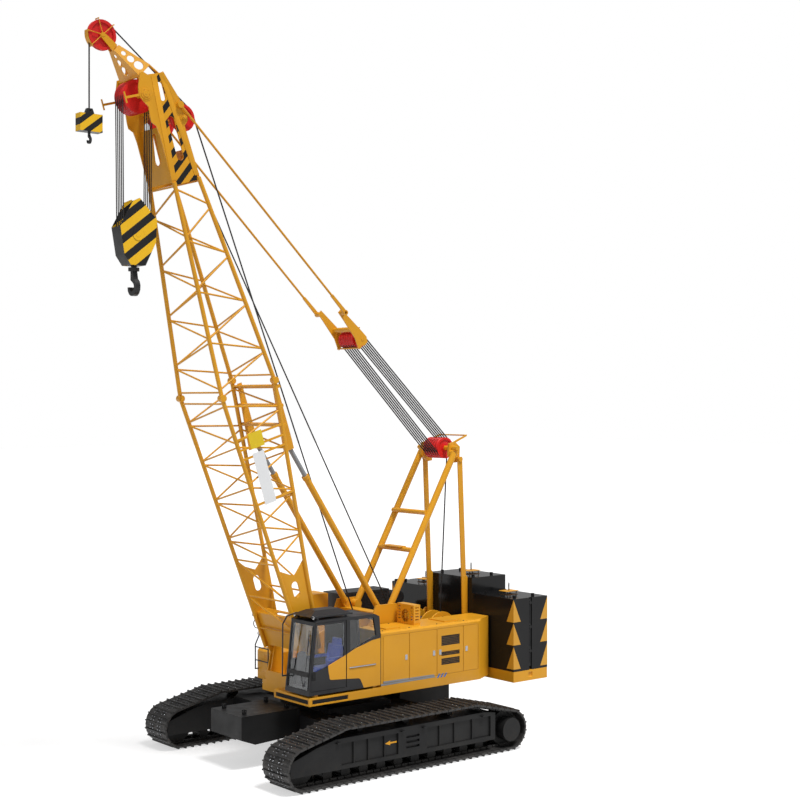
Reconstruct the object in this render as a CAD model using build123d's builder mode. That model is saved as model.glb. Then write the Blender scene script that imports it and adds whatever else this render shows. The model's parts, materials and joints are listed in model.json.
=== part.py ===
"""Crawler crane with a 13 m lattice boom, built as separate sub-parts in one frame.

Millimetres. +X is forward, +Y is left, +Z is up. The origin is on the ground
under the slewing axis. The boom stands at its working angle of 73.2 degrees.
"""
import math
import os

from build123d import *

os.makedirs("parts", exist_ok=True)

# ---------------------------------------------------------------- clearances
SEAT = 0.3                       # drawn gap between pieces that bear on each other
SWING_GAP = 6.0                  # above, below and beside a closed door

# ---------------------------------------------------------------- undercarriage
TRACK_HALF_WIDTH = 3000.0        # centre line to the outer edge of a shoe
SHOE_WIDTH = 950.0
TUMBLER_X = 2980.0               # slewing axis to each tumbler's axle
TUMBLER_OUT = 500.0              # tumbler axle to the tip of a grouser
TOP_RUN_Z = 1270.0               # grouser tips of the upper run
TOP_RUN_X = 1900.0               # where the upper run starts to fall away
SHOE_COUNT = 76
SHOE_PLATE = 45.0
GROUSER = 38.0
WHEEL_WIDTH = 360.0
FRAME_INSET = 75.0               # shoe edge to the outer face of a track frame
FRAME_WIDTH = 795.0
FRAME_LOW = 330.0
FRAME_TOP = 1010.0
RECESS = 45.0                    # depth of the panels pressed into a track frame
ROLLER_COUNT = 10
ROLLER_PITCH = 490.0
CARRIER_PITCH = 1300.0
CARBODY_LOW = 560.0
CARBODY_TOP = 1180.0
ARM_TOP = 1060.0
ARM_FAR = 1480.0                 # slewing axis to the outer face of a carbody arm
RING_OUT = 860.0
RING_IN = 620.0
WEIGHT_FRONT = 3065.0            # slewing axis to the end of a carbody weight
WEIGHT_HALF = 640.0
WEIGHT_TOP = 1225.0

# ---------------------------------------------------------------- revolving frame
DECK_LOW = 1420.0                # underside of the revolving frame
DECK_TOP = 1690.0
DECK_FRONT = 1500.0
DECK_SIDE = 1790.0               # centre line to the left and right edge
WEB_IN = 740.0                   # inner face of an upright web
WEB_THICK = 50.0
CHEEK = 35.0                     # plates beside the boom foot
FOOT_X = 1158.0                  # boom foot pin
FOOT_Z = 2310.0
FOOT_HALF_W = 790.0
FOOT_HUB = 45.0                  # half length of a boom foot boss
FOOT_HUB_R = 120.0
FOOT_PIN_R = 60.0
DECK_EDGE = FOOT_HALF_W + FOOT_HUB + SEAT + CHEEK
WEB_OUT = WEB_IN + WEB_THICK
PLATFORM_LOW = 1503.0
PLATFORM_FRONT = 2032.0
RIGHT_FRONT = 1030.0

# ---------------------------------------------------------------- engine house
SKIN = 40.0                      # thickness of a house wall or door
HOUSE_FRONT = 10.0
HOUSE_REAR = -3060.0
HOUSE_TAIL = -3600.0
HOUSE_TOP = 2960.0
TAIL_SIDE = 1500.0
DOOR_LOW = 1760.0                # bottom of the door opening
DOOR_HIGH = 2860.0
DOOR_SEAMS = (-50.0, -834.0, -1684.0, -2519.0, -3000.0)
HINGE_IN = 20.0                  # door face and door edge to the hinge axis
SEAM = 7.0                       # door edge to the middle of a seam
HINGE_R = 8.0

# ---------------------------------------------------------------- cab
CAB_INNER = DECK_EDGE + 10.0
CAB_FRONT = 2060.0
CAB_REAR = 20.0
CAB_LOW = 1740.0
CAB_TOP = 3390.0
CAB_WALL = 50.0
GLASS = 6.0

# ---------------------------------------------------------------- counterweight
CW_FRONT = -3650.0
CW_REAR = -4800.0
CW_HALF = 2350.0
CW_MIDDLE = 845.0                # half width of the middle stack
TRAY_LOW = 1420.0
TRAY_TOP = 1680.0
STACK_TOP = 3450.0
MIDDLE_LOW = 1750.0
MIDDLE_TOP = 3830.0

# ---------------------------------------------------------------- winches
DRUM_SHAFT_R = 70.0
DRUM_HALF = 560.0
DRUM_BARREL = 230.0
FLANGE = 40.0
# name, x, z, flange radius, inner faces of the flanges
DRUMS = (
    ("drum_main", -1750.0, 2460.0, 400.0, (-520.0, 560.0)),
    ("drum_aux", -620.0, 2420.0, 400.0, (-520.0, 560.0)),
    ("drum_boom", -2900.0, 2560.0, 460.0, (-520.0, 220.0, 560.0)),
)

# ---------------------------------------------------------------- boom
BOOM_ANGLE = math.radians(73.2)
JOINT_S = 6500.0                 # along the boom, foot pin to the section joint
TOP_S = 11250.0                  # foot pin to the end of the lattice
CHORD_START = 220.0
JOINT_HALF_W = 885.0
JOINT_HALF_D = 720.0
TOP_HALF_W = 530.0
TOP_HALF_D = 315.0
CHORD_R = 48.0
BRACE_R = 21.0
JOINT_PIN_R = 78.0
JOINT_LUG = 70.0                 # half length of a lug at the section joint

HEAD_Y = 490.0                   # inner face of a boom head plate
HEAD_PLATE = 30.0
HEAD_PIN_S, HEAD_PIN_N = 13200.0, 450.0       # axle of the main head sheaves
TIP_PIN_S, TIP_PIN_N = 14600.0, 830.0         # axle of the tip sheave
IDLER_S, IDLER_N = 12560.0, -330.0            # axle of the rear idler sheaves
PENDANT_S, PENDANT_N = 12840.0, -300.0        # pendant eyes beside the boom head

# ---------------------------------------------------------------- gantry and backstops
GANTRY_X, GANTRY_Z = -3260.0, 7085.0          # axle of the gantry sheaves
GANTRY_HALF_W = 644.0
LEG_FOOT_X, LEG_FOOT_Z = -1130.0, 3250.0
LEG_TOP_X, LEG_TOP_Z = -3228.0, 6966.0
LINK_TOP_X, LINK_TOP_Z = -3390.0, 6810.0
LINK_FOOT_X, LINK_FOOT_Z = -3570.0, 2790.0
BACKSTOP_X, BACKSTOP_Z = -820.0, 3300.0       # lower pins of the backstops
BACKSTOP_S, BACKSTOP_N = 4950.0, -800.0       # upper eyes of the backstops
BACKSTOP_Y = 640.0
STOP_EYE = 60.0                  # half width of a backstop's upper eye
STOP_PIN_R = 45.0

# ---------------------------------------------------------------- sheaves
# radius, width, pitch and count of each set
MAIN_R, MAIN_W, MAIN_PITCH, MAIN_COUNT = 365.0, 72.0, 80.0, 5
IDLER_R, IDLER_W, IDLER_Y = 300.0, 76.0, 440.0
TIP_R, TIP_W = 325.0, 90.0
BLOCK_R, BLOCK_W, BLOCK_PITCH, BLOCK_COUNT = 340.0, 72.0, 80.0, 4
LUFF_R, LUFF_W, LUFF_PITCH, LUFF_COUNT = 265.0, 80.0, 95.0, 6
SPREADER_R = 200.0
MAIN_AXLE_R, IDLER_AXLE_R, TIP_AXLE_R = 50.0, 45.0, 45.0
BLOCK_AXLE_R, LUFF_AXLE_R, SPREADER_AXLE_R = 60.0, 60.0, 40.0


# ---------------------------------------------------------------- helpers
def boom_point(along, front, side=0.0):
    """A point given along the boom, towards its front face, and sideways."""
    ca, sa = math.cos(BOOM_ANGLE), math.sin(BOOM_ANGLE)
    return (
        FOOT_X + along * ca + front * sa,
        side,
        FOOT_Z + along * sa - front * ca,
    )


def span(sign, near, far):
    """A stretch across the left (+1) or the right (-1) side, low end first."""
    return sorted((sign * near, sign * far))


def rod(p, q, radius):
    axis = Vector(*q) - Vector(*p)
    return Solid.make_cylinder(radius, axis.length, Plane(origin=p, z_dir=axis.normalized()))


def pin(x, z, y0, y1, radius):
    """A round piece across the machine, from y0 to y1."""
    return Solid.make_cylinder(radius, y1 - y0, Plane(origin=(x, y0, z), z_dir=(0, 1, 0)))


def block(x0, x1, y0, y1, z0, z1):
    return Solid.make_box(x1 - x0, y1 - y0, z1 - z0, Plane(origin=(x0, y0, z0)))


def plate(points, y0, y1):
    """A flat plate standing along the machine, outlined by x, z points."""
    face = Face(Wire.make_polygon([Vector(x, y0, z) for x, z in points], close=True))
    return Solid.extrude(face, Vector(0, y1 - y0, 0))


def slab(points, z0, z1):
    """A level plate outlined by x, y points."""
    face = Face(Wire.make_polygon([Vector(x, y, z0) for x, y in points], close=True))
    return Solid.extrude(face, Vector(0, 0, z1 - z0))


def boom_slab(points, n0, n1):
    """A plate across the boom, outlined by points along the boom and sideways."""
    face = Face(Wire.make_polygon([Vector(*boom_point(s, n0, y)) for s, y in points], close=True))
    return Solid.extrude(face, Vector(*boom_point(0, n1)) - Vector(*boom_point(0, n0)))


def boom_plate(points, y0, y1):
    """A flat plate along the boom, outlined by (along, front) points."""
    spots = [Vector(*boom_point(s, n, y0)) for s, n in points]
    face = Face(Wire.make_polygon(spots, close=True))
    return Solid.extrude(face, Vector(0, y1 - y0, 0))


def boom_pin(s, n, y0, y1, radius):
    x, _, z = boom_point(s, n)
    return pin(x, z, y0, y1, radius)


def boom_slot(s0, s1, n, half, y0, y1):
    """The solid of a round-ended slot along the boom, to be cut from its plates."""
    middle = boom_plate([(s0, n - half), (s1, n - half), (s1, n + half), (s0, n + half)], y0, y1)
    return [middle, boom_pin(s0, n, y0, y1, half), boom_pin(s1, n, y0, y1, half)]


def sheave(x, z, y, radius, width, bore):
    """A grooved rope wheel centred at y, with a thin web between hub and rim."""
    half = width / 2
    groove = radius * 0.90
    hub = bore + 35
    rim = radius * 0.80
    web = half * 0.45
    right = [
        (bore, -half), (hub, -half), (hub, -web), (rim, -web), (rim, -half), (radius, -half),
        (radius, -half * 0.7), (groove, -half * 0.2),
    ]
    spots = right + [(r, -w) for r, w in reversed(right)]
    plane = Plane(origin=(x, y, z), x_dir=(1, 0, 0), z_dir=(0, 0, 1))
    corners = [plane.from_local_coords(Vector(r, w, 0)) for r, w in spots]
    return Solid.revolve(Face(Wire.make_polygon(corners, close=True)), 360, Axis((x, y, z), (0, 1, 0)))


def sheave_set(x, z, radius, width, bore, pitch, count):
    """Like sheaves side by side on one axle, evenly about the centre line."""
    return [sheave(x, z, (i - (count - 1) / 2) * pitch, radius, width, bore) for i in range(count)]


def finish(part, name):
    part.label = name
    export_step(part, f"parts/{name}.step")
    print(name, len(part.solids()))


# ---------------------------------------------------------------- undercarriage
FRAME_OUT_Y = TRACK_HALF_WIDTH - FRAME_INSET
FRAME_IN_Y = FRAME_OUT_Y - FRAME_WIDTH
TRACK_MID = TRACK_HALF_WIDTH - SHOE_WIDTH / 2
BAND = GROUSER + SHOE_PLATE


def track_outline():
    """Closed path of the grouser tips, anticlockwise seen from the right side."""
    spots = []
    rise = TOP_RUN_Z - 2 * TUMBLER_OUT
    lean = math.atan2(rise, TUMBLER_X - TOP_RUN_X)
    steps = 24
    for x, start in ((TUMBLER_X, -math.pi / 2), (-TUMBLER_X, math.pi / 2 + lean)):
        for i in range(steps + 1):
            a = start + (math.pi - lean) * i / steps
            spots.append((x + TUMBLER_OUT * math.cos(a), TUMBLER_OUT + TUMBLER_OUT * math.sin(a)))
        if x > 0:
            spots.append((TOP_RUN_X, TOP_RUN_Z))
            spots.append((-TOP_RUN_X, TOP_RUN_Z))
    return spots


def along_path(spots, distance):
    """Point and unit direction at a distance along the closed path."""
    for i in range(len(spots)):
        p, q = spots[i], spots[(i + 1) % len(spots)]
        step = math.dist(p, q)
        if distance <= step:
            ux, uz = (q[0] - p[0]) / step, (q[1] - p[1]) / step
            return (p[0] + ux * distance, p[1] + uz * distance), (ux, uz)
        distance -= step
    return spots[0], (1.0, 0.0)


# each shoe: share of its pitch, and depth below the grouser tip
SHOE_STEPS = (
    (0.04, GROUSER), (0.37, GROUSER), (0.41, 0.0), (0.59, 0.0), (0.63, GROUSER), (0.96, GROUSER),
)


def track_band():
    """Outer and inner outline of the track, with a grouser on each shoe."""
    spots = track_outline()
    total = sum(math.dist(spots[i], spots[(i + 1) % len(spots)]) for i in range(len(spots)))
    pitch = total / SHOE_COUNT
    outer = []
    inner = []
    for i in range(SHOE_COUNT):
        for share, depth in SHOE_STEPS:
            (x, z), (dx, dz) = along_path(spots, (i + share) * pitch)
            outer.append((x - dz * depth, z + dx * depth))
        (x, z), (dx, dz) = along_path(spots, (i + 0.5) * pitch)
        inner.append((x - dz * BAND, z + dx * BAND))
    return outer, inner


def inside_radius(inner, x):
    """The largest wheel about a tumbler axle that fits inside the track."""
    reach = TUMBLER_OUT
    for i in range(len(inner)):
        (ax, az), (bx, bz) = inner[i], inner[(i + 1) % len(inner)]
        dx, dz = bx - ax, bz - az
        t = ((x - ax) * dx + (TUMBLER_OUT - az) * dz) / (dx * dx + dz * dz)
        t = min(1.0, max(0.0, t))
        reach = min(reach, math.dist((x, TUMBLER_OUT), (ax + t * dx, az + t * dz)))
    return reach


with BuildPart() as carbody:
    add(block(-900, 900, -1000, 1000, CARBODY_LOW, CARBODY_TOP))
    for sign in (-1, 1):
        x0, x1 = span(sign, 700, ARM_FAR)
        add(block(x0, x1, -(FRAME_IN_Y - SEAT), FRAME_IN_Y - SEAT, CARBODY_LOW, ARM_TOP))
finish(carbody.part, "carbody")

with BuildPart() as slew_ring:
    with BuildSketch(Plane.XY.offset(CARBODY_TOP + SEAT)):
        Circle(RING_OUT)
        Circle(RING_IN, mode=Mode.SUBTRACT)
    extrude(amount=DECK_LOW - CARBODY_TOP - 2 * SEAT)
finish(slew_ring.part, "slew_ring")

with BuildPart() as carbody_weights:
    for sign in (-1, 1):
        side = [
            (ARM_FAR + SEAT, CARBODY_LOW + 60), (WEIGHT_FRONT - 365, CARBODY_LOW),
            (WEIGHT_FRONT, CARBODY_LOW + 140), (WEIGHT_FRONT, WEIGHT_TOP), (ARM_FAR + SEAT, WEIGHT_TOP),
        ]
        add(plate([(sign * x, z) for x, z in side], -WEIGHT_HALF, WEIGHT_HALF))
        for x in (ARM_FAR + 220, WEIGHT_FRONT - 215):
            for y in (-WEIGHT_HALF + 220, WEIGHT_HALF - 220):
                for dy in (-28, 28):
                    ear = block(sign * x - 40, sign * x + 40, y + dy - 9, y + dy + 9, WEIGHT_TOP - 5,
                                WEIGHT_TOP + 105)
                    add(ear - pin(sign * x, WEIGHT_TOP + 62, y - 60, y + 60, 24))
finish(carbody_weights.part, "carbody_weights")

FRAME_SIDE = [
    (TUMBLER_X + 355, FRAME_LOW + 20), (TUMBLER_X + 355, 676), (TUMBLER_X - 310, 894),
    (TOP_RUN_X + 250, FRAME_TOP), (-TOP_RUN_X - 250, FRAME_TOP), (-TUMBLER_X + 470, FRAME_TOP - 50),
    (-TUMBLER_X + 470, FRAME_LOW),
]
PANEL_LOW, PANEL_HIGH = FRAME_LOW + 100, FRAME_TOP - 110
outer, inner = track_band()
for tag, sign in (("left", 1), ("right", -1)):
    with BuildPart() as frame:
        y0, y1 = span(sign, FRAME_IN_Y, FRAME_OUT_Y)
        add(plate(FRAME_SIDE, y0, y1))
        mid = sign * TRACK_MID
        add(block(TUMBLER_X - 580, TUMBLER_X + 520, mid - 230, mid + 230, 0, TOP_RUN_Z), mode=Mode.SUBTRACT)
        y0, y1 = span(sign, FRAME_OUT_Y - RECESS, FRAME_OUT_Y + 10)
        for xa, xb in ((-TUMBLER_X + 620, -420), (420, TOP_RUN_X + 100)):
            add(block(xa, xb, y0, y1, PANEL_LOW, PANEL_HIGH), mode=Mode.SUBTRACT)
        for i in range(3):
            z = PANEL_LOW + 90 + i * 115
            add(block(-190, 190, y0, y1, z, z + 55), mode=Mode.SUBTRACT)
        y0, y1 = span(sign, FRAME_OUT_Y - RECESS - 5, FRAME_OUT_Y - 8)
        for x in (-1800, -1250, -800, 800, 1250, 1650):
            add(block(x - 14, x + 14, y0, y1, PANEL_LOW - 5, PANEL_HIGH + 5))
        y0, y1 = span(sign, FRAME_OUT_Y - 5, TRACK_HALF_WIDTH - 15)
        for x in (-TOP_RUN_X - 200, -310, 310, TOP_RUN_X + 200):
            ear = block(x - 45, x + 45, y0, y1, FRAME_TOP - 95, FRAME_TOP - 65)
            add(ear)
    finish(frame.part, f"track_frame_{tag}")

    with BuildPart() as track:
        y0, y1 = span(sign, TRACK_HALF_WIDTH, TRACK_HALF_WIDTH - SHOE_WIDTH)
        ring = Face(
            Wire.make_polygon([Vector(x, y0, z) for x, z in outer], close=True),
            [Wire.make_polygon([Vector(x, y0, z) for x, z in inner], close=True)],
        )
        add(Solid.extrude(ring, Vector(0, y1 - y0, 0)))
    finish(track.part, f"track_{tag}")


with BuildPart() as idlers:
    for sign in (-1, 1):
        mid = sign * TRACK_MID
        radius = inside_radius(inner, TUMBLER_X) - SEAT
        add(pin(TUMBLER_X, TUMBLER_OUT, mid - WHEEL_WIDTH / 2, mid + WHEEL_WIDTH / 2, radius))
        add(pin(TUMBLER_X, TUMBLER_OUT, mid - 230 + SEAT, mid + 230 - SEAT, 120))
finish(idlers.part, "idlers")

with BuildPart() as final_drives:
    for sign in (-1, 1):
        mid = sign * TRACK_MID
        radius = inside_radius(inner, -TUMBLER_X) - SEAT
        add(pin(-TUMBLER_X, TUMBLER_OUT, mid - WHEEL_WIDTH / 2, mid + WHEEL_WIDTH / 2, radius))
        y0, y1 = span(sign, TRACK_MID + WHEEL_WIDTH / 2 - 10, TRACK_HALF_WIDTH - 10)
        add(pin(-TUMBLER_X, TUMBLER_OUT, y0, y1, 277))
        y0, y1 = span(sign, TRACK_MID - WHEEL_WIDTH / 2 + 10, FRAME_IN_Y - 60)
        add(pin(-TUMBLER_X, TUMBLER_OUT, y0, y1, 300))
        y0, y1 = span(sign, FRAME_IN_Y - 40, FRAME_IN_Y + 160)
        add(block(-TUMBLER_X, -TUMBLER_X + 470 - SEAT, y0, y1, TUMBLER_OUT - 140, TUMBLER_OUT + 140))
finish(final_drives.part, "final_drives")

with BuildPart() as track_rollers:
    low = BAND + SEAT
    high = TOP_RUN_Z - BAND - SEAT
    low_r = (FRAME_LOW - SEAT - low) / 2
    high_r = (high - FRAME_TOP - SEAT) / 2
    for mid in (-TRACK_MID, TRACK_MID):
        for i in range(ROLLER_COUNT):
            x = (i - (ROLLER_COUNT - 1) / 2) * ROLLER_PITCH
            add(pin(x, low + low_r, mid - 170, mid + 170, low_r))
        for x in (-CARRIER_PITCH, 0, CARRIER_PITCH):
            add(pin(x, high - high_r, mid - 150, mid + 150, high_r))
finish(track_rollers.part, "track_rollers")

# ---------------------------------------------------------------- revolving frame
# upright web, seen from the side: boom end, drum pockets, gantry peak, rear lugs
WEB_SIDE = [
    (FOOT_X - 210, DECK_TOP - 90), (700, 2250), (-350, 2720), (-520, 3120), (-640, 3400), (-1260, 3400),
    (-1420, 3000), (-2050, 2860), (-2400, 2860), (-3150, 2900), (-3300, 2760), (-3480, 2940),
    (CW_FRONT + 10, 2940), (CW_FRONT + 10, DECK_TOP - 90),
]
with BuildPart() as deck_frame:
    add(block(CW_FRONT + SEAT, DECK_FRONT, -DECK_EDGE, DECK_EDGE, DECK_LOW, DECK_TOP))
    add(block(DECK_FRONT - 60, DECK_FRONT, -WEB_IN, WEB_IN, DECK_TOP - 5, DECK_TOP + 210))
    for y0, y1 in ((-WEB_OUT, -WEB_IN), (WEB_IN, WEB_OUT)):
        add(plate(WEB_SIDE, y0, y1))
    for x0, x1, z0, z1 in ((-1000, -700, 3080, 3200), (600, 640, DECK_TOP - 5, 2200), (-3600, -3560, 1685, 2600)):
        add(block(x0, x1, -WEB_IN - 5, WEB_IN + 5, z0, z1))
    for sign in (-1, 1):
        y0, y1 = span(sign, BACKSTOP_Y - 45, WEB_IN + 5)
        add(pin(BACKSTOP_X, BACKSTOP_Z, y0, y1, STOP_PIN_R))
        for near in (-FOOT_HUB - SEAT - CHEEK, FOOT_HUB + SEAT):
            y0, y1 = span(sign, FOOT_HALF_W + near, FOOT_HALF_W + near + CHEEK)
            cheek = [(FOOT_X - 200, DECK_TOP - 5), (FOOT_X - 110, FOOT_Z + 60), (FOOT_X - 50, FOOT_Z + 120),
                     (FOOT_X + 50, FOOT_Z + 120), (FOOT_X + 110, FOOT_Z + 60), (FOOT_X + 240, DECK_TOP - 5)]
            add(plate(cheek, y0, y1))
        y0, y1 = span(sign, FOOT_HALF_W - FOOT_HUB - 10, FOOT_HALF_W + FOOT_HUB + 10)
        add(pin(FOOT_X, FOOT_Z, y0, y1, FOOT_PIN_R))
    for name, x, z, radius, flanges in DRUMS:
        add(pin(x, z, -WEB_IN - 5, WEB_IN + 5, DRUM_SHAFT_R))
finish(deck_frame.part, "deck_frame")

with BuildPart() as platforms:
    edge = DECK_EDGE + SEAT
    left = [
        (HOUSE_FRONT + SEAT, edge), (DECK_FRONT + SEAT, edge), (DECK_FRONT + SEAT, 400),
        (PLATFORM_FRONT, 400), (PLATFORM_FRONT, DECK_SIDE), (HOUSE_FRONT + SEAT, DECK_SIDE),
    ]
    add(slab(left, PLATFORM_LOW, DECK_TOP))
    band_low, band_high = PLATFORM_LOW + 42, DECK_TOP - 50
    add(block(950, PLATFORM_FRONT - 80, DECK_SIDE - 14, DECK_SIDE + 10, band_low, band_high), mode=Mode.SUBTRACT)
    add(block(PLATFORM_FRONT - 14, PLATFORM_FRONT + 10, 460, DECK_SIDE - 60, band_low, band_high),
        mode=Mode.SUBTRACT)
    for x in (CAB_REAR + 130, CAB_FRONT - 260):
        for y in (CAB_INNER + 120, DECK_SIDE - 110):
            add(block(x - 50, x + 50, y - 50, y + 50, DECK_TOP - 5, CAB_LOW - SEAT))
    add(block(HOUSE_TAIL, RIGHT_FRONT, -DECK_SIDE, -edge, PLATFORM_LOW, DECK_TOP))
finish(platforms.part, "platforms")

# the engine house: a hollow shell whose left side is four doors
HINGE_Y = DECK_SIDE - HINGE_IN
# hinge edge of each door, and +1 where the door lies in front of its hinge
DOOR_HINGES = ((DOOR_SEAMS[0], -1), (DOOR_SEAMS[1], -1), (DOOR_SEAMS[3], 1), (DOOR_SEAMS[4], 1))
with BuildPart() as engine_house:
    inner_edge = DECK_EDGE + SEAT
    foot = [(HOUSE_FRONT, inner_edge), (HOUSE_FRONT, DECK_SIDE), (HOUSE_REAR, DECK_SIDE),
            (HOUSE_TAIL, TAIL_SIDE), (HOUSE_TAIL, inner_edge)]
    add(slab(foot, PLATFORM_LOW, HOUSE_TOP))
    roof_edge = engine_house.edges().filter_by(Axis.X).group_by(Axis.Z)[-1].sort_by(Axis.Y)[-1]
    chamfer(roof_edge, 45)
    room = [(HOUSE_FRONT - SKIN, inner_edge + SKIN), (HOUSE_FRONT - SKIN, DECK_SIDE - SKIN),
            (HOUSE_REAR + 10, DECK_SIDE - SKIN), (HOUSE_TAIL + SKIN, TAIL_SIDE - SKIN),
            (HOUSE_TAIL + SKIN, inner_edge + SKIN)]
    add(slab(room, PLATFORM_LOW + SKIN, HOUSE_TOP - SKIN - 15), mode=Mode.SUBTRACT)
    add(block(DOOR_SEAMS[-1] - SEAM, DOOR_SEAMS[0] + SEAM, DECK_SIDE - SKIN - 20, DECK_SIDE + 10,
              DOOR_LOW, DOOR_HIGH), mode=Mode.SUBTRACT)
    for x, y0, y1 in ((-500, 1000, 1600), (-2300, 1000, 1600)):
        add(block(x - 220, x + 220, y0, y1, HOUSE_TOP - 5, HOUSE_TOP + 22))
    for x, ahead in DOOR_HINGES:
        hinge_x = x + ahead * (SEAM + HINGE_IN)
        for z0, z1 in ((DOOR_LOW - 5, DOOR_LOW + 50), (DOOR_HIGH - 50, DOOR_HIGH + 5)):
            add(rod((hinge_x, HINGE_Y, z0), (hinge_x, HINGE_Y, z1), HINGE_R))
finish(engine_house.part, "engine_house")

for i, (hinge, ahead) in enumerate(DOOR_HINGES):
    hinge_x = hinge + ahead * (SEAM + HINGE_IN)
    x0, x1 = DOOR_SEAMS[i + 1] + SEAM, DOOR_SEAMS[i] - SEAM
    z0, z1 = DOOR_LOW + SWING_GAP, DOOR_HIGH - SWING_GAP
    with BuildPart() as door:
        add(block(x0, x1, DECK_SIDE - SKIN, DECK_SIDE, z0, z1))
        for low in (z0 - 1, z1 - 50):
            add(rod((hinge_x, HINGE_Y, low), (hinge_x, HINGE_Y, low + 51), HINGE_R + SEAT), mode=Mode.SUBTRACT)
        latch_x = x0 + 90 if ahead < 0 else x1 - 90
        add(block(latch_x - 35, latch_x + 35, DECK_SIDE - 5, DECK_SIDE + 8, 2240, 2360))
        if i == 2:
            for low, high in ((1985, 2140), (2200, 2300), (2440, 2680)):
                add(block(x0 + 110, x1 - 130, DECK_SIDE - 12, DECK_SIDE + 10, low, high), mode=Mode.SUBTRACT)
                for z in range(low + 25, high - 15, 38):
                    add(block(x0 + 105, x1 - 125, DECK_SIDE - 16, DECK_SIDE - 4, z, z + 12))
    finish(door.part, f"house_door_{i + 1}")

with BuildPart() as engine_block:
    add(block(-2700, -900, inner_edge + SKIN + 30, TAIL_SIDE, PLATFORM_LOW + SKIN + SEAT, 2450))
finish(engine_block.part, "engine_block")

with BuildPart() as right_house:
    inside = -(DECK_EDGE + SEAT)
    add(block(-3300, 200, -DECK_SIDE, inside, DECK_TOP + SEAT, HOUSE_TOP))
    roof_edge = right_house.edges().filter_by(Axis.X).group_by(Axis.Z)[-1].sort_by(Axis.Y)[0]
    chamfer(roof_edge, 45)
    for x in (-2700, -1850, -1000, -150):
        add(block(x - 4, x + 4, -DECK_SIDE - 1, -DECK_SIDE + 6, 1760, 2860), mode=Mode.SUBTRACT)
    locker = [(199, DECK_TOP + SEAT), (RIGHT_FRONT, DECK_TOP + SEAT), (RIGHT_FRONT, 2180), (980, 2230),
              (199, 2230)]
    add(plate(locker, -DECK_SIDE, inside))
    for z in range(1990, 2120, 34):
        add(block(RIGHT_FRONT - 12, RIGHT_FRONT + 5, -1500, -1260, z, z + 16), mode=Mode.SUBTRACT)
    tank = [(-450, HOUSE_TOP - 5), (-450, 3540), (-20, 3540), (120, 3430), (120, HOUSE_TOP - 5)]
    add(plate(tank, -1500, inside - 20))
finish(right_house.part, "right_house")

with BuildPart() as oil_cooler:
    add(block(-2360, -750, -1500, inside, HOUSE_TOP + SEAT, 3500))
    for x in range(-2280, -820, 240):
        add(block(x, x + 170, inside - 12, inside + 5, HOUSE_TOP + 70, 3440), mode=Mode.SUBTRACT)
        for z in range(3080, 3420, 70):
            add(block(x - 5, x + 175, inside - 16, inside - 4, z, z + 14))
finish(oil_cooler.part, "oil_cooler")

# fan guard on the house roof: a box open below, with slots and a round fan grille
GUARD_FRONT, GUARD_REAR, GUARD_TOP, GUARD_WALL = -1200.0, -1400.0, 3430.0, 12.0
with BuildPart() as fan_guard:
    y0, y1 = DECK_EDGE + 12, 1507
    add(block(GUARD_REAR, GUARD_FRONT, y0, y1, HOUSE_TOP + SEAT, GUARD_TOP))
    add(block(GUARD_REAR + GUARD_WALL, GUARD_FRONT - GUARD_WALL, y0 + GUARD_WALL, y1 - GUARD_WALL,
              HOUSE_TOP - 10, GUARD_TOP - GUARD_WALL), mode=Mode.SUBTRACT)
    middle = ((y0 + y1) / 2, HOUSE_TOP + 200)
    hole = rod((GUARD_REAR - 10, *middle), (GUARD_FRONT + 10, *middle), 150)
    add(hole, mode=Mode.SUBTRACT)
    for i in range(5):
        z = HOUSE_TOP + 110 + i * 70
        add(block(GUARD_REAR - 5, GUARD_FRONT + 5, y0 + 45, y0 + 130, z, z + 26), mode=Mode.SUBTRACT)
        add(block(GUARD_REAR - 5, GUARD_FRONT + 5, y1 - 120, y1 - 45, z, z + 26), mode=Mode.SUBTRACT)
        add(block(GUARD_REAR + 45, GUARD_FRONT - 45, y0 - 5, y1 + 5, z, z + 26), mode=Mode.SUBTRACT)
    for i in range(4):
        a = math.pi * i / 4
        dy, dz = 155 * math.cos(a), 155 * math.sin(a)
        add(rod((GUARD_FRONT - 6, middle[0] - dy, middle[1] - dz),
                (GUARD_FRONT - 6, middle[0] + dy, middle[1] + dz), 5))
finish(fan_guard.part, "fan_guard")

with BuildPart() as silencer:
    add(pin(-2700, 3250, -1400, inside, 150))
    add(rod((-2700, -980, 3250), (-2700, -980, 3700), 60))
    add(block(-2800, -2600, -1200, -900, HOUSE_TOP + SEAT, 3130))
    add(rod((-2700, -980, 3300), (-2700, -980, 3710), 52), mode=Mode.SUBTRACT)
finish(silencer.part, "silencer")

# ---------------------------------------------------------------- winches
for name, x, z, radius, flanges in DRUMS:
    with BuildPart() as drum:
        add(pin(x, z, -DRUM_HALF, DRUM_HALF, DRUM_BARREL))
        for y in flanges:
            add(pin(x, z, y - FLANGE, y, radius))
        add(pin(x, z, -DRUM_HALF - 5, DRUM_HALF + 5, DRUM_SHAFT_R + SEAT), mode=Mode.SUBTRACT)
    finish(drum.part, name)

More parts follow.
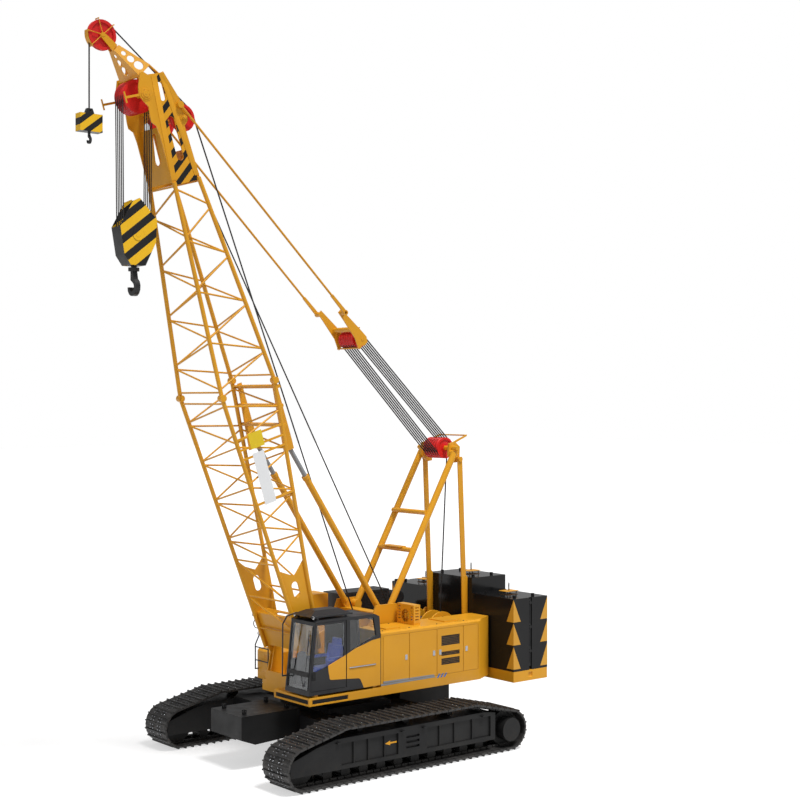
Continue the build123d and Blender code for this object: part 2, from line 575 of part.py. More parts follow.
# ---------------------------------------------------------------- gantry
with BuildPart() as gantry:
    for y in (-GANTRY_HALF_W, GANTRY_HALF_W):
        add(rod((LEG_FOOT_X, y, LEG_FOOT_Z), (LEG_TOP_X, y, LEG_TOP_Z), 80))
    for x, z in ((-2311, 5518), (-1863, 4626)):
        add(rod((x, -GANTRY_HALF_W, z), (x, GANTRY_HALF_W, z), 60))
    add(block(-1930, -1700, -330, 330, 4675, 4700))
    for sign in (-1, 1):
        y0, y1 = span(sign, GANTRY_HALF_W - 84, WEB_IN - SEAT)
        add(pin(LEG_FOOT_X, LEG_FOOT_Z, y0, y1, 110))
        y0, y1 = span(sign, 500, GANTRY_HALF_W - 84)
        cheek = [(-3120, 6900), (-3330, 6720), (-3480, 6740), (-3500, 7120), (-3330, 7250), (-3150, 7200)]
        add(plate(cheek, y0, y1))
        y0, y1 = span(sign, 500, GANTRY_HALF_W + 16)
        add(pin(LEG_TOP_X, LEG_TOP_Z, y0, y1, 85))
        y0, y1 = span(sign, 500, 525)
        add(plate([(-3300, 7180), (-3270, 7230), (-3760, 7420), (-3760, 7380)], y0, y1))
    add(rod((-3750, -525, 7400), (-3750, 525, 7400), 18))
    add(pin(GANTRY_X, GANTRY_Z, -760, 760, LUFF_AXLE_R))
    for sign in (-1, 1):
        y0, y1 = span(sign, 655, 685)
        link = [
            (LINK_TOP_X - 75, LINK_TOP_Z + 60), (LINK_TOP_X + 75, LINK_TOP_Z + 60), (-3445, 3900),
            (LINK_FOOT_X + 120, 3840), (LINK_FOOT_X + 95, LINK_FOOT_Z - 60),
            (LINK_FOOT_X - 75, LINK_FOOT_Z - 60), (CW_FRONT + 8, 3840), (CW_FRONT + 60, 3900),
        ]
        add(plate(link, y0, y1))
        y0, y1 = span(sign, GANTRY_HALF_W - 84 + SEAT, 720)
        add(pin(LINK_TOP_X, LINK_TOP_Z, y0, y1, 62))
        y0, y1 = span(sign, 600, WEB_IN - SEAT)
        add(pin(LINK_FOOT_X, LINK_FOOT_Z, y0, y1, 58))
finish(gantry.part, "gantry")

# ---------------------------------------------------------------- counterweight
with BuildPart() as weight_tray:
    add(block(CW_REAR, CW_FRONT, -CW_HALF, CW_HALF, TRAY_LOW, TRAY_TOP))
    add(block(CW_REAR + 200, CW_FRONT - 50, -600, 600, TRAY_TOP - 5, MIDDLE_LOW))
    for sign in (-1, 1):
        y0, y1 = span(sign, CW_HALF - 30, CW_HALF + 5)
        add(block(-4290, -4160, y0, y1, TRAY_LOW + 90, TRAY_TOP - 60), mode=Mode.SUBTRACT)
finish(weight_tray.part, "weight_tray")

# stacks: inner and outer side, number of slabs, bottom, top
STACKS = (
    (CW_MIDDLE + SEAT, CW_HALF, 3, TRAY_TOP, STACK_TOP),
    (-CW_HALF, -CW_MIDDLE - SEAT, 3, TRAY_TOP, STACK_TOP),
    (-CW_MIDDLE, CW_MIDDLE, 1, MIDDLE_LOW, MIDDLE_TOP),
)
GROOVE_X = (-4270.0, -4180.0)
with BuildPart() as counterweights:
    for y0, y1, count, z0, z1 in STACKS:
        step = (z1 - z0) / count
        for i in range(count):
            low, high = z0 + i * step + SEAT, z0 + (i + 1) * step
            weight = block(CW_REAR, CW_FRONT, y0, y1, low, high)
            mid = (y0 + y1) / 2
            if count > 1:
                sign = 1 if mid > 0 else -1
                g0, g1 = span(sign, CW_HALF - 45, CW_HALF + 5)
                weight = weight - block(*GROOVE_X, g0, g1, low - 5, high + 5)
                p0, p1 = span(sign, CW_HALF - 50, CW_HALF)
                weight = weight + pin(sum(GROOVE_X) / 2, high - 130, p0, p1, 42)
            if i == count - 1:
                for x in (CW_REAR + 260, CW_FRONT - 260):
                    for y in (y0 + 250, y1 - 250):
                        weight = weight + rod((x, y, high - 5), (x, y, high + 55), 42)
            add(weight)
finish(counterweights.part, "counterweights")

# ---------------------------------------------------------------- cab
CAB_SIDE = [(CAB_FRONT, CAB_LOW), (1880, CAB_TOP - 40), (1800, CAB_TOP), (190, CAB_TOP), (60, CAB_TOP - 60),
            (CAB_REAR, 2860), (CAB_REAR, CAB_LOW)]
CAB_ROOM = [(CAB_FRONT - CAB_WALL, CAB_LOW + CAB_WALL), (1835, CAB_TOP - 75), (1780, CAB_TOP - CAB_WALL),
            (200, CAB_TOP - CAB_WALL), (110, CAB_TOP - 90), (CAB_REAR + CAB_WALL, 2850),
            (CAB_REAR + CAB_WALL, CAB_LOW + CAB_WALL)]
DOOR_REAR_X = 1000.0
DOORWAY = [(1995, 1820), (1995, 2300), (1870, 3335), (DOOR_REAR_X, 3335), (DOOR_REAR_X, 1820)]
DOOR_LEAF = [(1987, 1828), (1987, 2296), (1863, 3327), (DOOR_REAR_X + 18, 3327), (DOOR_REAR_X + 18, 1828)]
DOOR_PANE = [(1935, 2010), (1930, 2300), (1820, 3280), (DOOR_REAR_X + 70, 3280), (DOOR_REAR_X + 70, 2240),
             (1500, 2010)]
REAR_PANE = [(905, 3315), (230, 3315), (150, 2900), (905, 2600)]
RIGHT_PANE = [(1790, 3290), (960, 3290), (960, 2450), (1880, 2450)]
CAB_HINGE_X, CAB_HINGE_Y, CAB_HINGE_R = DOOR_REAR_X + 38, DECK_SIDE - CAB_WALL / 2, 10.0


def shrunk(points, gap):
    """The outline of a pane that fits a window with a gap all round."""
    cx = sum(x for x, z in points) / len(points)
    cz = sum(z for x, z in points) / len(points)
    far = min(abs(x - cx) + abs(z - cz) for x, z in points)
    share = 1 - gap / far
    return [(cx + (x - cx) * share, cz + (z - cz) * share) for x, z in points]


FRONT_LEAN = (CAB_FRONT - 1880) / (CAB_TOP - 40 - CAB_LOW)


def cab_front_x(z):
    """The cab's sloping front face at a height."""
    return CAB_FRONT - (z - CAB_LOW) * FRONT_LEAN


# front panes: bottom and top height
FRONT_PANES = ((1850, 2150), (2230, 3270))
PANE_SIDE = 75.0                 # cab side to the edge of a front pane
with BuildPart() as cab_shell:
    add(plate(CAB_SIDE, CAB_INNER, DECK_SIDE))
    add(plate(CAB_ROOM, CAB_INNER + CAB_WALL, DECK_SIDE - CAB_WALL), mode=Mode.SUBTRACT)
    add(plate(DOORWAY, DECK_SIDE - CAB_WALL - 30, DECK_SIDE + 10), mode=Mode.SUBTRACT)
    add(plate(REAR_PANE, DECK_SIDE - CAB_WALL - 30, DECK_SIDE + 10), mode=Mode.SUBTRACT)
    add(plate(RIGHT_PANE, CAB_INNER - 10, CAB_INNER + CAB_WALL + 10), mode=Mode.SUBTRACT)
    add(block(CAB_REAR - 10, CAB_REAR + 130, CAB_INNER + 120, DECK_SIDE - 120, 2500, 3230), mode=Mode.SUBTRACT)
    for low, high in FRONT_PANES:
        hole = [(cab_front_x(low) - 120, low), (cab_front_x(low) + 60, low), (cab_front_x(high) + 60, high),
                (cab_front_x(high) - 120, high)]
        add(plate(hole, CAB_INNER + PANE_SIDE, DECK_SIDE - PANE_SIDE), mode=Mode.SUBTRACT)
    for z0, z1 in ((1815, 1890), (3275, 3340)):
        add(rod((CAB_HINGE_X, CAB_HINGE_Y, z0), (CAB_HINGE_X, CAB_HINGE_Y, z1), CAB_HINGE_R))
finish(cab_shell.part, "cab_shell")

with BuildPart() as cab_glass:
    y = DECK_SIDE - CAB_WALL / 2
    add(plate(shrunk(REAR_PANE, SEAT), y - GLASS / 2, y + GLASS / 2))
    y = CAB_INNER + CAB_WALL / 2
    add(plate(shrunk(RIGHT_PANE, SEAT), y - GLASS / 2, y + GLASS / 2))
    add(block(CAB_REAR + 22, CAB_REAR + 22 + GLASS, CAB_INNER + 120 + SEAT, DECK_SIDE - 120 - SEAT,
              2500 + SEAT, 3230 - SEAT))
    for low, high in FRONT_PANES:
        low, high = low + SEAT, high - SEAT
        pane = [(cab_front_x(low) - 20 - GLASS, low), (cab_front_x(low) - 20, low),
                (cab_front_x(high) - 20, high), (cab_front_x(high) - 20 - GLASS, high)]
        add(plate(pane, CAB_INNER + PANE_SIDE + SEAT, DECK_SIDE - PANE_SIDE - SEAT))
finish(cab_glass.part, "cab_glass")

with BuildPart() as cab_door:
    add(plate(DOOR_LEAF, DECK_SIDE - CAB_WALL, DECK_SIDE))
    add(plate(DOOR_PANE, DECK_SIDE - CAB_WALL - 5, DECK_SIDE + 5), mode=Mode.SUBTRACT)
    for z0, z1 in ((1827, 1890 + SEAT), (3275 - SEAT, 3328)):
        add(rod((CAB_HINGE_X, CAB_HINGE_Y, z0), (CAB_HINGE_X, CAB_HINGE_Y, z1), CAB_HINGE_R + SEAT),
            mode=Mode.SUBTRACT)
finish(cab_door.part, "cab_door")

with BuildPart() as door_glass:
    y = DECK_SIDE - CAB_WALL / 2
    add(plate(shrunk(DOOR_PANE, SEAT), y - GLASS / 2, y + GLASS / 2))
finish(door_glass.part, "door_glass")

with BuildPart() as cab_inside:
    floor = CAB_LOW + CAB_WALL + SEAT
    mid = (CAB_INNER + DECK_SIDE) / 2
    add(block(1010, 1330, mid - 180, mid + 180, floor, floor + 330))
    add(block(940, 1480, mid - 250, mid + 250, floor + 320, floor + 460))
    add(plate([(950, floor + 440), (1090, floor + 440), (1000, floor + 930), (890, floor + 930)],
              mid - 240, mid + 240))
    add(plate([(895, floor + 910), (985, floor + 910), (970, floor + 1080), (895, floor + 1080)],
              mid - 130, mid + 130))
    for sign in (-1, 1):
        y0, y1 = sorted((mid + sign * 235, mid + sign * 320))
        add(block(930, 1030, y0, y1, floor + 440, floor + 700))
        add(block(930, 1430, y0, y1, floor + 640, floor + 700))
        add(rod((1380, (y0 + y1) / 2, floor + 690), (1400, (y0 + y1) / 2, floor + 830), 18))
    add(block(1760, 1930, CAB_INNER + 120, DECK_SIDE - 120, floor, floor + 90))
    add(plate([(1500, floor), (1800, floor), (1760, floor + 760), (1640, floor + 800), (1560, floor + 560)],
              CAB_INNER + CAB_WALL + SEAT, CAB_INNER + 210))
finish(cab_inside.part, "cab_inside")

# black tube rails, and the guard lid over the cab roof
RAIL_R = 16.0
LID_TOP = CAB_TOP + 175.0


def rail(points):
    """A bent tube through the points, with a ball at every bend."""
    pieces = [rod(p, q, RAIL_R) for p, q in zip(points, points[1:])]
    pieces += [Solid.make_sphere(RAIL_R + 0.6, Plane(origin=p)) for p in points[1:-1]]
    tube = pieces[0]
    for piece in pieces[1:]:
        tube = tube + piece
    return tube


with BuildPart() as guard_rails:
    low = CAB_TOP + SEAT
    for x in (960, 1740):
        for y in (CAB_INNER + 80, DECK_SIDE - 90):
            add(block(x - 20, x + 20, y - 15, y + 15, low, low + 60))
    for y in (CAB_INNER + 80, DECK_SIDE - 90):
        add(block(780, 1900, y - 22, y + 22, low + 50, low + 85))
    side_slope = [(CAB_INNER + 70, low + 70), (CAB_INNER + 250, LID_TOP), (DECK_SIDE - 330, LID_TOP),
                  (DECK_SIDE - 110, low + 70)]
    lid = plate([(760, low + 70), (980, LID_TOP), (1640, LID_TOP), (1930, low + 70)], CAB_INNER, DECK_SIDE)
    add(lid & Rot(0, 0, 90) * plate(side_slope, -1940, -750))
    y = CAB_INNER + 30
    add(rail([(cab_front_x(2080) + 2.5, y, 2080), (2150, y, 2080), (2140, y, 3250), (2020, y, 3420),
              (1890, y + 50, low + 70)]))
    # ladder and hand rail at the right front corner
    y = -DECK_SIDE + 40
    add(rail([(RIGHT_FRONT + SEAT, y, 1740), (1120, y, 1740), (1120, y, 2330), (1000, y, 2560), (620, y, 2560),
              (620, y, 2230 + SEAT)]))
    add(rail([(RIGHT_FRONT + SEAT, y + 560, 1740), (1120, y + 560, 1740), (1120, y + 560, 2330)]))
    for z in (1960, 2280):
        add(rod((1120, y, z), (1120, y + 560, z), RAIL_R - 2))
finish(guard_rails.part, "guard_rails")

# ---------------------------------------------------------------- boom lattice
FOOT_HALF_D = {1: 260.0, -1: 200.0}       # chord off the boom's axis near the foot: front, back
FOOT_D_S = 400.0


def chord_depth(section, s, front):
    """How far a chord lies from the boom's axis at s."""
    if section == "base":
        start = FOOT_HALF_D[front]
        return start + (JOINT_HALF_D - start) * (s - FOOT_D_S) / (JOINT_S - FOOT_D_S)
    return JOINT_HALF_D + (TOP_HALF_D - JOINT_HALF_D) * (s - JOINT_S) / (TOP_S - JOINT_S)


def chord_spot(section, s, front, side):
    """Centre of a chord at s; front and side are +1 or -1."""
    if section == "base":
        width = FOOT_HALF_W + (JOINT_HALF_W - FOOT_HALF_W) * s / JOINT_S
    else:
        width = JOINT_HALF_W + (TOP_HALF_W - JOINT_HALF_W) * (s - JOINT_S) / (TOP_S - JOINT_S)
    return boom_point(s, front * chord_depth(section, s, front), side * width)


def chord_cutters(section, s0, s1):
    """Rods a seat wider than the chords, to cope what meets them."""
    return [
        rod(chord_spot(section, s0, *corner), chord_spot(section, s1, *corner), CHORD_R + SEAT)
        for corner in CORNERS
    ]


CORNERS = ((1, 1), (1, -1), (-1, 1), (-1, -1))
with BuildPart() as boom_base_chords:
    for corner in CORNERS:
        add(rod(chord_spot("base", CHORD_START, *corner), chord_spot("base", JOINT_S, *corner), CHORD_R))
        x, y, z = chord_spot("base", JOINT_S, *corner)
        reach = JOINT_LUG + SEAT
        add(pin(x, z, y - reach - 60, y + reach + 60, JOINT_PIN_R + SEAT), mode=Mode.SUBTRACT)
finish(boom_base_chords.part, "boom_base_chords")

with BuildPart() as boom_top_chords:
    for corner in CORNERS:
        add(rod(chord_spot("top", JOINT_S + JOINT_PIN_R / 2, *corner), chord_spot("top", TOP_S, *corner), CHORD_R))
        x, y, z = chord_spot("top", JOINT_S, *corner)
        add(pin(x, z, y - JOINT_LUG, y + JOINT_LUG, JOINT_PIN_R))
finish(boom_top_chords.part, "boom_top_chords")

# each face: the two chords it joins
FACES = (((1, 1), (1, -1)), ((-1, 1), (-1, -1)), ((1, 1), (-1, 1)), ((1, -1), (-1, -1)))
# section, start and end of the zigzag, bars in it, crossbars on the front and back faces
LATTICE = (
    ("base", 2500.0, 6350.0, 8, (720.0, 1560.0, 2480.0, 6370.0)),
    ("top", 6650.0, 11150.0, 8, (6630.0, 11170.0)),
)
NODE_GAP = 42.0                  # zigzag bar to the node line, along the boom
for section, s0, s1, count, crossbars in LATTICE:
    cutters = chord_cutters(section, crossbars[0] - 300, crossbars[-1] + 200)
    solids = []
    for face, (a, b) in enumerate(FACES):
        bars = []
        step = (s1 - s0) / count
        for i in range(count):
            c, d = (a, b) if (i + face) % 2 == 0 else (b, a)
            bars.append((s0 + i * step + NODE_GAP, c, s0 + (i + 1) * step - NODE_GAP, d))
        if face < 2:
            bars += [(s, a, s, b) for s in crossbars]
            for low, high in zip(crossbars, crossbars[1:-1]):
                bars.append((low + NODE_GAP, a, high - NODE_GAP, b))
        for sa, c, sb, d in bars:
            bar = rod(chord_spot(section, sa, *c), chord_spot(section, sb, *d), BRACE_R)
            for corner in (c, d):
                bar = bar - cutters[CORNERS.index(corner)]
            solids.extend(bar.solids())
    with BuildPart() as braces:
        add(solids)
    finish(braces.part, f"boom_{section}_braces")

FOOT_PLATE = 30.0
PANEL_LOW, PANEL_TOP = 250.0, 1080.0      # front panel between the two foot plates
PANEL_IN, PANEL_THICK = 55.0, 15.0        # behind the chords' axes, and its thickness
with BuildPart() as boom_foot:
    cutters = chord_cutters("base", 0, 2600)
    for side in (-1, 1):
        y = side * FOOT_HALF_W
        y0, y1 = y - FOOT_PLATE / 2, y + FOOT_PLATE / 2
        rim = [(-40, -110), (-40, 110)]
        for front, spots in ((1, (CHORD_START, 1300, 2350)), (-1, (2350, 1300, CHORD_START))):
            rim += [(s, front * chord_depth("base", s, front)) for s in spots]
            if front > 0:
                rim += [(2130, 90), (2070, 0), (2130, -90)]
        web = boom_plate(rim, y0, y1)
        for cutter in cutters:
            web = web - cutter
        for hole in boom_slot(1650, 1850, 40, 90, y0 - 5, y1 + 5):
            web = web - hole
        web = max(web.solids(), key=lambda solid: solid.volume)
        add(web)
        add(boom_pin(0, 0, y - FOOT_HUB, y + FOOT_HUB, FOOT_HUB_R))
        add(boom_pin(0, 0, y - FOOT_HUB - 5, y + FOOT_HUB + 5, FOOT_PIN_R + SEAT), mode=Mode.SUBTRACT)
    add(boom_plate([(330, -60), (330, 60), (420, 60), (420, -60)], -FOOT_HALF_W, FOOT_HALF_W))
    low, top = (chord_depth("base", s, 1) - PANEL_IN for s in (PANEL_LOW, PANEL_TOP))
    add(boom_plate([(PANEL_LOW, low), (PANEL_TOP, top), (PANEL_TOP, top - PANEL_THICK), (PANEL_LOW, low - PANEL_THICK)],
                   -FOOT_HALF_W, FOOT_HALF_W))
    flange = boom_plate([(PANEL_TOP - 5, top), (PANEL_TOP + 15, top), (PANEL_TOP + 15, top - 280),
                         (PANEL_TOP - 5, top - 280)], -FOOT_HALF_W, FOOT_HALF_W)
    add(flange - boom_slab([(PANEL_TOP - 50, -150), (PANEL_TOP + 50, -150), (PANEL_TOP + 50, 350), (PANEL_TOP - 50, 350)],
                           top - 200, top - 80))
finish(boom_foot.part, "boom_foot")

# ladder-shaped frame behind the boom that carries the upper eyes of the backstops
STOP_PLATE_Y = BACKSTOP_Y + STOP_EYE + SEAT
with BuildPart() as backstop_frame:
    cutters = chord_cutters("base", 4500, JOINT_S)
    for side in (-1, 1):
        y0, y1 = span(side, STOP_PLATE_Y, STOP_PLATE_Y + 30)
        rim = [(s, -chord_depth("base", s, -1) - 32) for s in (BACKSTOP_S - 120, 6420)]
        rim += [(6420, -855), (BACKSTOP_S + 110, BACKSTOP_N - 90), (BACKSTOP_S - 120, BACKSTOP_N - 90)]
        add(boom_plate(rim, y0, y1))
    for s in (5450, 5900, 6340):
        depth = chord_depth("base", s, -1)
        width = chord_spot("base", s, -1, 1)[1] + 30
        bar = boom_plate([(s - 35, -depth - 30), (s + 35, -depth - 30), (s + 35, -depth - 110),
                          (s - 35, -depth - 110)], -width, width)
        for cutter in cutters:
            bar = bar - cutter
        add(bar)
finish(backstop_frame.part, "backstop_frame")

# blank boards on the left face of the base section: start, end, front and back edge
BOARDS = ((5200, 5560, -40, 330), (3900, 5100, 20, 330))
with BuildPart() as sign_plates:
    cutters = chord_cutters("base", 3500, JOINT_S)
    for s0, s1, n0, n1 in BOARDS:
        face_y = chord_spot("base", s1, 1, 1)[1] + BRACE_R + 2
        board = boom_plate([(s0, n0), (s1, n0), (s1, n1), (s0, n1)], face_y + 12, face_y + 16)
        for s in (s0 + 60, s1 - 60):
            depth = chord_depth("base", s, 1)
            strap_y = chord_spot("base", s + 25, 1, 1)[1] + BRACE_R + SEAT
            strap = boom_plate([(s - 25, -depth), (s + 25, -depth), (s + 25, depth), (s - 25, depth)],
                               strap_y, face_y + 12.5)
            for cutter in cutters:
                strap = strap - cutter
            board = board + max(strap.solids(), key=lambda solid: solid.volume)
        add(board)
finish(sign_plates.part, "sign_plates")

# ---------------------------------------------------------------- boom head
HEAD_OUT = HEAD_Y + HEAD_PLATE
FLANGE_UP = 8.0                  # how far a flange or boss stands out from a side plate
PENDANT_EYE_R = 75.0
HEAD_OUTLINE = [
    (TOP_S - 60, 360), (TOP_S - 60, -360), (12380, -300), (12480, -415), (12640, -425), (12760, -345), (12960, -345),
    (13596, -110), (13580, -30), (13590, 290), (13660, 370), (13655, 455), (13570, 490), (13380, 575), (13230, 610), (13230, 930), (13330, 930),
    (13330, 955), (13090, 955), (13090, 930), (13180, 930), (13180, 610), (13060, 540), (12930, 455),
    (12725, 478), (12600, 480), (12500, 385), (12264, 358),
]
with BuildPart() as boom_head:
    cutters = chord_cutters("top", TOP_S - 400, TOP_S)
    for y0 in (-HEAD_OUT, HEAD_Y):
        side = boom_plate(HEAD_OUTLINE, y0, y0 + HEAD_PLATE)
        holes = boom_slot(11765, 12555, 0, 85, y0 - 5, y0 + HEAD_PLATE + 5)
        holes += boom_slot(13050, 13330, 60, 65, y0 - 5, y0 + HEAD_PLATE + 5)
        for cutter in cutters + holes:
            side = side - cutter
        add(max(side.solids(), key=lambda solid: solid.volume))
    front = boom_plate([(TOP_S + 8, 300), (TOP_S + 8, 330), (12480, 190), (12480, 160)], -HEAD_Y - 5, HEAD_Y + 5)
    slot = []
    for s, radius, first in ((11800, 140, 90), (12300, 75, -90)):
        for i in range(9):
            a = math.radians(first + i * 180 / 8)
            slot.append((s + radius * math.cos(a), radius * math.sin(a)))
    add(front - boom_slab(slot, 100, 400))
    add(boom_plate([(TOP_S + 8, -330), (TOP_S + 8, -300), (11900, -300), (11900, -330)], -HEAD_Y - 5, HEAD_Y + 5))
    # raised flanges along the front and rear edge of each side plate
    for y0, y1 in ((-HEAD_OUT - FLANGE_UP, -HEAD_OUT + 5), (HEAD_OUT - 5, HEAD_OUT + FLANGE_UP)):
        for rim in (((13540, 215), (13540, 80), (11300, 245), (11300, 365)),
                    ((13585, -105), (13560, 15), (11300, -240), (11300, -355))):
            add(boom_plate(rim, y0, y1))
    for y0, y1 in ((-HEAD_OUT - FLANGE_UP, -HEAD_Y - 5), (HEAD_Y + 5, HEAD_OUT + FLANGE_UP)):
        add(boom_pin(HEAD_PIN_S, HEAD_PIN_N, y0, y1, 150))
        add(boom_pin(IDLER_S, IDLER_N, y0, y1, 95))
        add(boom_pin(PENDANT_S, PENDANT_N, y0, y1, 42))
    add(boom_pin(12850, 60, -HEAD_Y - 5, HEAD_Y + 5, 60))
    add(boom_pin(HEAD_PIN_S, HEAD_PIN_N, -HEAD_Y - 5, HEAD_Y + 5, MAIN_AXLE_R))
    add(boom_pin(IDLER_S, IDLER_N, -HEAD_Y - 5, HEAD_Y + 5, IDLER_AXLE_R))
finish(boom_head.part, "boom_head")

# auxiliary tip: a tapered channel, open to the rear and at both ends, with round holes in each face
ARM_WALL = 18.0
# each end: low and high edge (along, front) and half width; the two edges are parallel
ARM_ROOT = ((13590, 435), (13790, 115), 440)
ARM_NECK = ((14240, 690), (14330, 546), 112)


def arm_box(inset, reach):
    """The arm's outside, or its hollow: drawn in by the wall, open to the rear and at both ends."""
    ends = []
    for low, high, half in (ARM_ROOT, ARM_NECK):
        share = inset / math.dist(low, high)
        s0, n0 = (low[k] + (high[k] - low[k]) * share for k in (0, 1))
        s1, n1 = (high[k] + (high[k] - low[k]) * share for k in (0, 1))
        w = half - inset
        ends.append([Vector(*boom_point(*p)) for p in ((s0, n0, -w), (s0, n0, w), (s1, n1, w), (s1, n1, -w))])
    root = [p + (p - q) * reach for p, q in zip(*ends)]
    neck = [q + (q - p) * reach for p, q in zip(*ends)]
    rings = [root, neck] + [(root[i - 1], root[i], neck[i], neck[i - 1]) for i in range(4)]
    return Solid(Shell([Face(Wire.make_polygon(ring, close=True)) for ring in rings]))


TIP_X, _, TIP_Z = boom_point(TIP_PIN_S, TIP_PIN_N)
GUARD_R = TIP_R + 28             # rope guard about the tip sheave
GUARD_SPOKES = (136, 73, 7, -44)          # degrees above forward
with BuildPart() as tip_arm:
    box = arm_box(0, 0) - arm_box(ARM_WALL, 0.04)
    for s, n, radius in ((13821, 350, 95), (13987, 447, 76), (14136, 532, 50)):
        box = box - boom_pin(s, n, -HEAD_Y, HEAD_Y, radius)
    for s, n, radius in ((13775, 508, 100), (13960, 580, 75), (14110, 639, 48)):
        box = box - rod(boom_point(s + 18, n - 47), boom_point(s - 55, n + 140), radius)
    add(max(box.solids(), key=lambda solid: solid.volume))
    seat_y = HEAD_Y - SEAT
    add(boom_pin(13604, 415, -seat_y, seat_y, 32))
    add(boom_pin(13545, -75, -seat_y, seat_y, 35))
    for y in (-400, 400):
        add(rod(boom_point(13545, -75, y), boom_point(13790, 130, y), 25))
    for y in (-TIP_W / 2 - 30, TIP_W / 2 + 6):
        neck = [(14230, 700), (14340, 560), (14600, 760), (14660, 830), (14600, 900), (14540, 880)]
        add(boom_plate(neck, y, y + 24))
        for degrees in GUARD_SPOKES:
            end_x = TIP_X + GUARD_R * math.cos(math.radians(degrees))
            end_z = TIP_Z + GUARD_R * math.sin(math.radians(degrees))
            add(rod((TIP_X, y + 12, TIP_Z), (end_x, y + 12, end_z), 9))
            if y < 0:
                add(pin(end_x, end_z, y, TIP_W / 2 + 30, 13))
    keeper = []
    for radius, degrees in ((GUARD_R + 9, range(10, -51, -12)), (GUARD_R + 1, range(-50, 11, 12))):
        for a in degrees:
            keeper.append((TIP_X + radius * math.cos(math.radians(a)), TIP_Z + radius * math.sin(math.radians(a))))
    add(plate(keeper, -TIP_W / 2 - 30, TIP_W / 2 + 30))
    add(boom_plate([(14235, 675), (14320, 570), (14265, 545), (14190, 650)], -105, 105))
    add(boom_pin(TIP_PIN_S, TIP_PIN_N, -TIP_W / 2 - 36, TIP_W / 2 + 36, TIP_AXLE_R))
finish(tip_arm.part, "tip_arm")

MAIN_X, _, MAIN_Z = boom_point(HEAD_PIN_S, HEAD_PIN_N)
IDLER_X, _, IDLER_Z = boom_point(IDLER_S, IDLER_N)
with BuildPart() as tip_sheave:
    add(sheave(TIP_X, TIP_Z, 0, TIP_R, TIP_W, TIP_AXLE_R + SEAT))
finish(tip_sheave.part, "tip_sheave")

with BuildPart() as head_sheaves:
    add(sheave_set(MAIN_X, MAIN_Z, MAIN_R, MAIN_W, MAIN_AXLE_R + SEAT, MAIN_PITCH, MAIN_COUNT))
finish(head_sheaves.part, "head_sheaves")

with BuildPart() as idler_sheaves:
    for y in (-IDLER_Y, IDLER_Y):
        add(sheave(IDLER_X, IDLER_Z, y, IDLER_R, IDLER_W, IDLER_AXLE_R + SEAT))
finish(idler_sheaves.part, "idler_sheaves")

# ---------------------------------------------------------------- backstops
STOP_X, _, STOP_Z = boom_point(BACKSTOP_S, BACKSTOP_N)
LOWER = Vector(BACKSTOP_X, 0, BACKSTOP_Z)
UPPER = Vector(STOP_X, 0, STOP_Z)
STOP_AXIS = (UPPER - LOWER).normalized()
STOP_SPAN = (UPPER - LOWER).length
TUBE_R, TUBE_WALL, STOP_ROD_R = 75.0, 12.0, 55.0
TUBE_LONG = 3900.0               # lower pin to the mouth of the tube
for tag, sign in (("left", 1), ("right", -1)):
    y = sign * BACKSTOP_Y


    def on_axis(distance, y=y):
        """A point of this backstop's axis, measured from its lower pin."""
        return tuple(LOWER + STOP_AXIS * distance + Vector(0, y, 0))


    with BuildPart() as tube:
        add(rod(on_axis(60), on_axis(TUBE_LONG), TUBE_R))
        add(rod(on_axis(TUBE_LONG - 90), on_axis(TUBE_LONG), TUBE_R + 14))
        add(pin(BACKSTOP_X, BACKSTOP_Z, y - 35, y + 35, 100))
        add(rod(on_axis(160), on_axis(TUBE_LONG - 60), TUBE_R - TUBE_WALL), mode=Mode.SUBTRACT)
        add(rod(on_axis(TUBE_LONG - 70), on_axis(TUBE_LONG + 10), STOP_ROD_R + SEAT), mode=Mode.SUBTRACT)
        add(pin(BACKSTOP_X, BACKSTOP_Z, y - 80, y + 80, STOP_PIN_R + SEAT), mode=Mode.SUBTRACT)
    finish(tube.part, f"backstop_tube_{tag}")
    with BuildPart() as plunger:
        add(rod(on_axis(2000), on_axis(STOP_SPAN - 60), STOP_ROD_R))
        add(pin(STOP_X, STOP_Z, y - STOP_EYE, y + STOP_EYE, 80))
    finish(plunger.part, f"backstop_rod_{tag}")

# ---------------------------------------------------------------- suspension
PEND_X, _, PEND_Z = boom_point(PENDANT_S, PENDANT_N)
HEAD_EYE = Vector(PEND_X, 0, PEND_Z)
GANTRY_PIN = Vector(GANTRY_X, 0, GANTRY_Z)
LINE = (HEAD_EYE - GANTRY_PIN).normalized()
SPREADER_AT = 3830.0             # gantry axle to the spreader's sheave axle
SPREADER_LONG = 870.0            # spreader's sheave axle to its pendant pins
SPREADER_Y = 390.0               # inner face of a spreader plate
AXLE = GANTRY_PIN + LINE * SPREADER_AT
PIN_END = GANTRY_PIN + LINE * (SPREADER_AT + SPREADER_LONG)
ACROSS = Vector(-LINE.Z, 0, LINE.X)
with BuildPart() as gantry_sheaves:
    add(sheave_set(GANTRY_X, GANTRY_Z, LUFF_R, LUFF_W, LUFF_AXLE_R + SEAT, LUFF_PITCH, LUFF_COUNT))
finish(gantry_sheaves.part, "gantry_sheaves")

with BuildPart() as spreader_sheaves:
    add(sheave_set(AXLE.X, AXLE.Z, SPREADER_R, LUFF_W, SPREADER_AXLE_R + SEAT, LUFF_PITCH, LUFF_COUNT))
finish(spreader_sheaves.part, "spreader_sheaves")


def line_plate(points, y0, y1):
    """A plate in the plane of the suspension: points along it and across it from its sheave axle."""
    spots = [AXLE + LINE * along + ACROSS * up for along, up in points]
    return plate([(v.X, v.Z) for v in spots], y0, y1)


def line_pin(along, up, y0, y1, radius):
    spot = AXLE + LINE * along + ACROSS * up
    return pin(spot.X, spot.Z, y0, y1, radius)


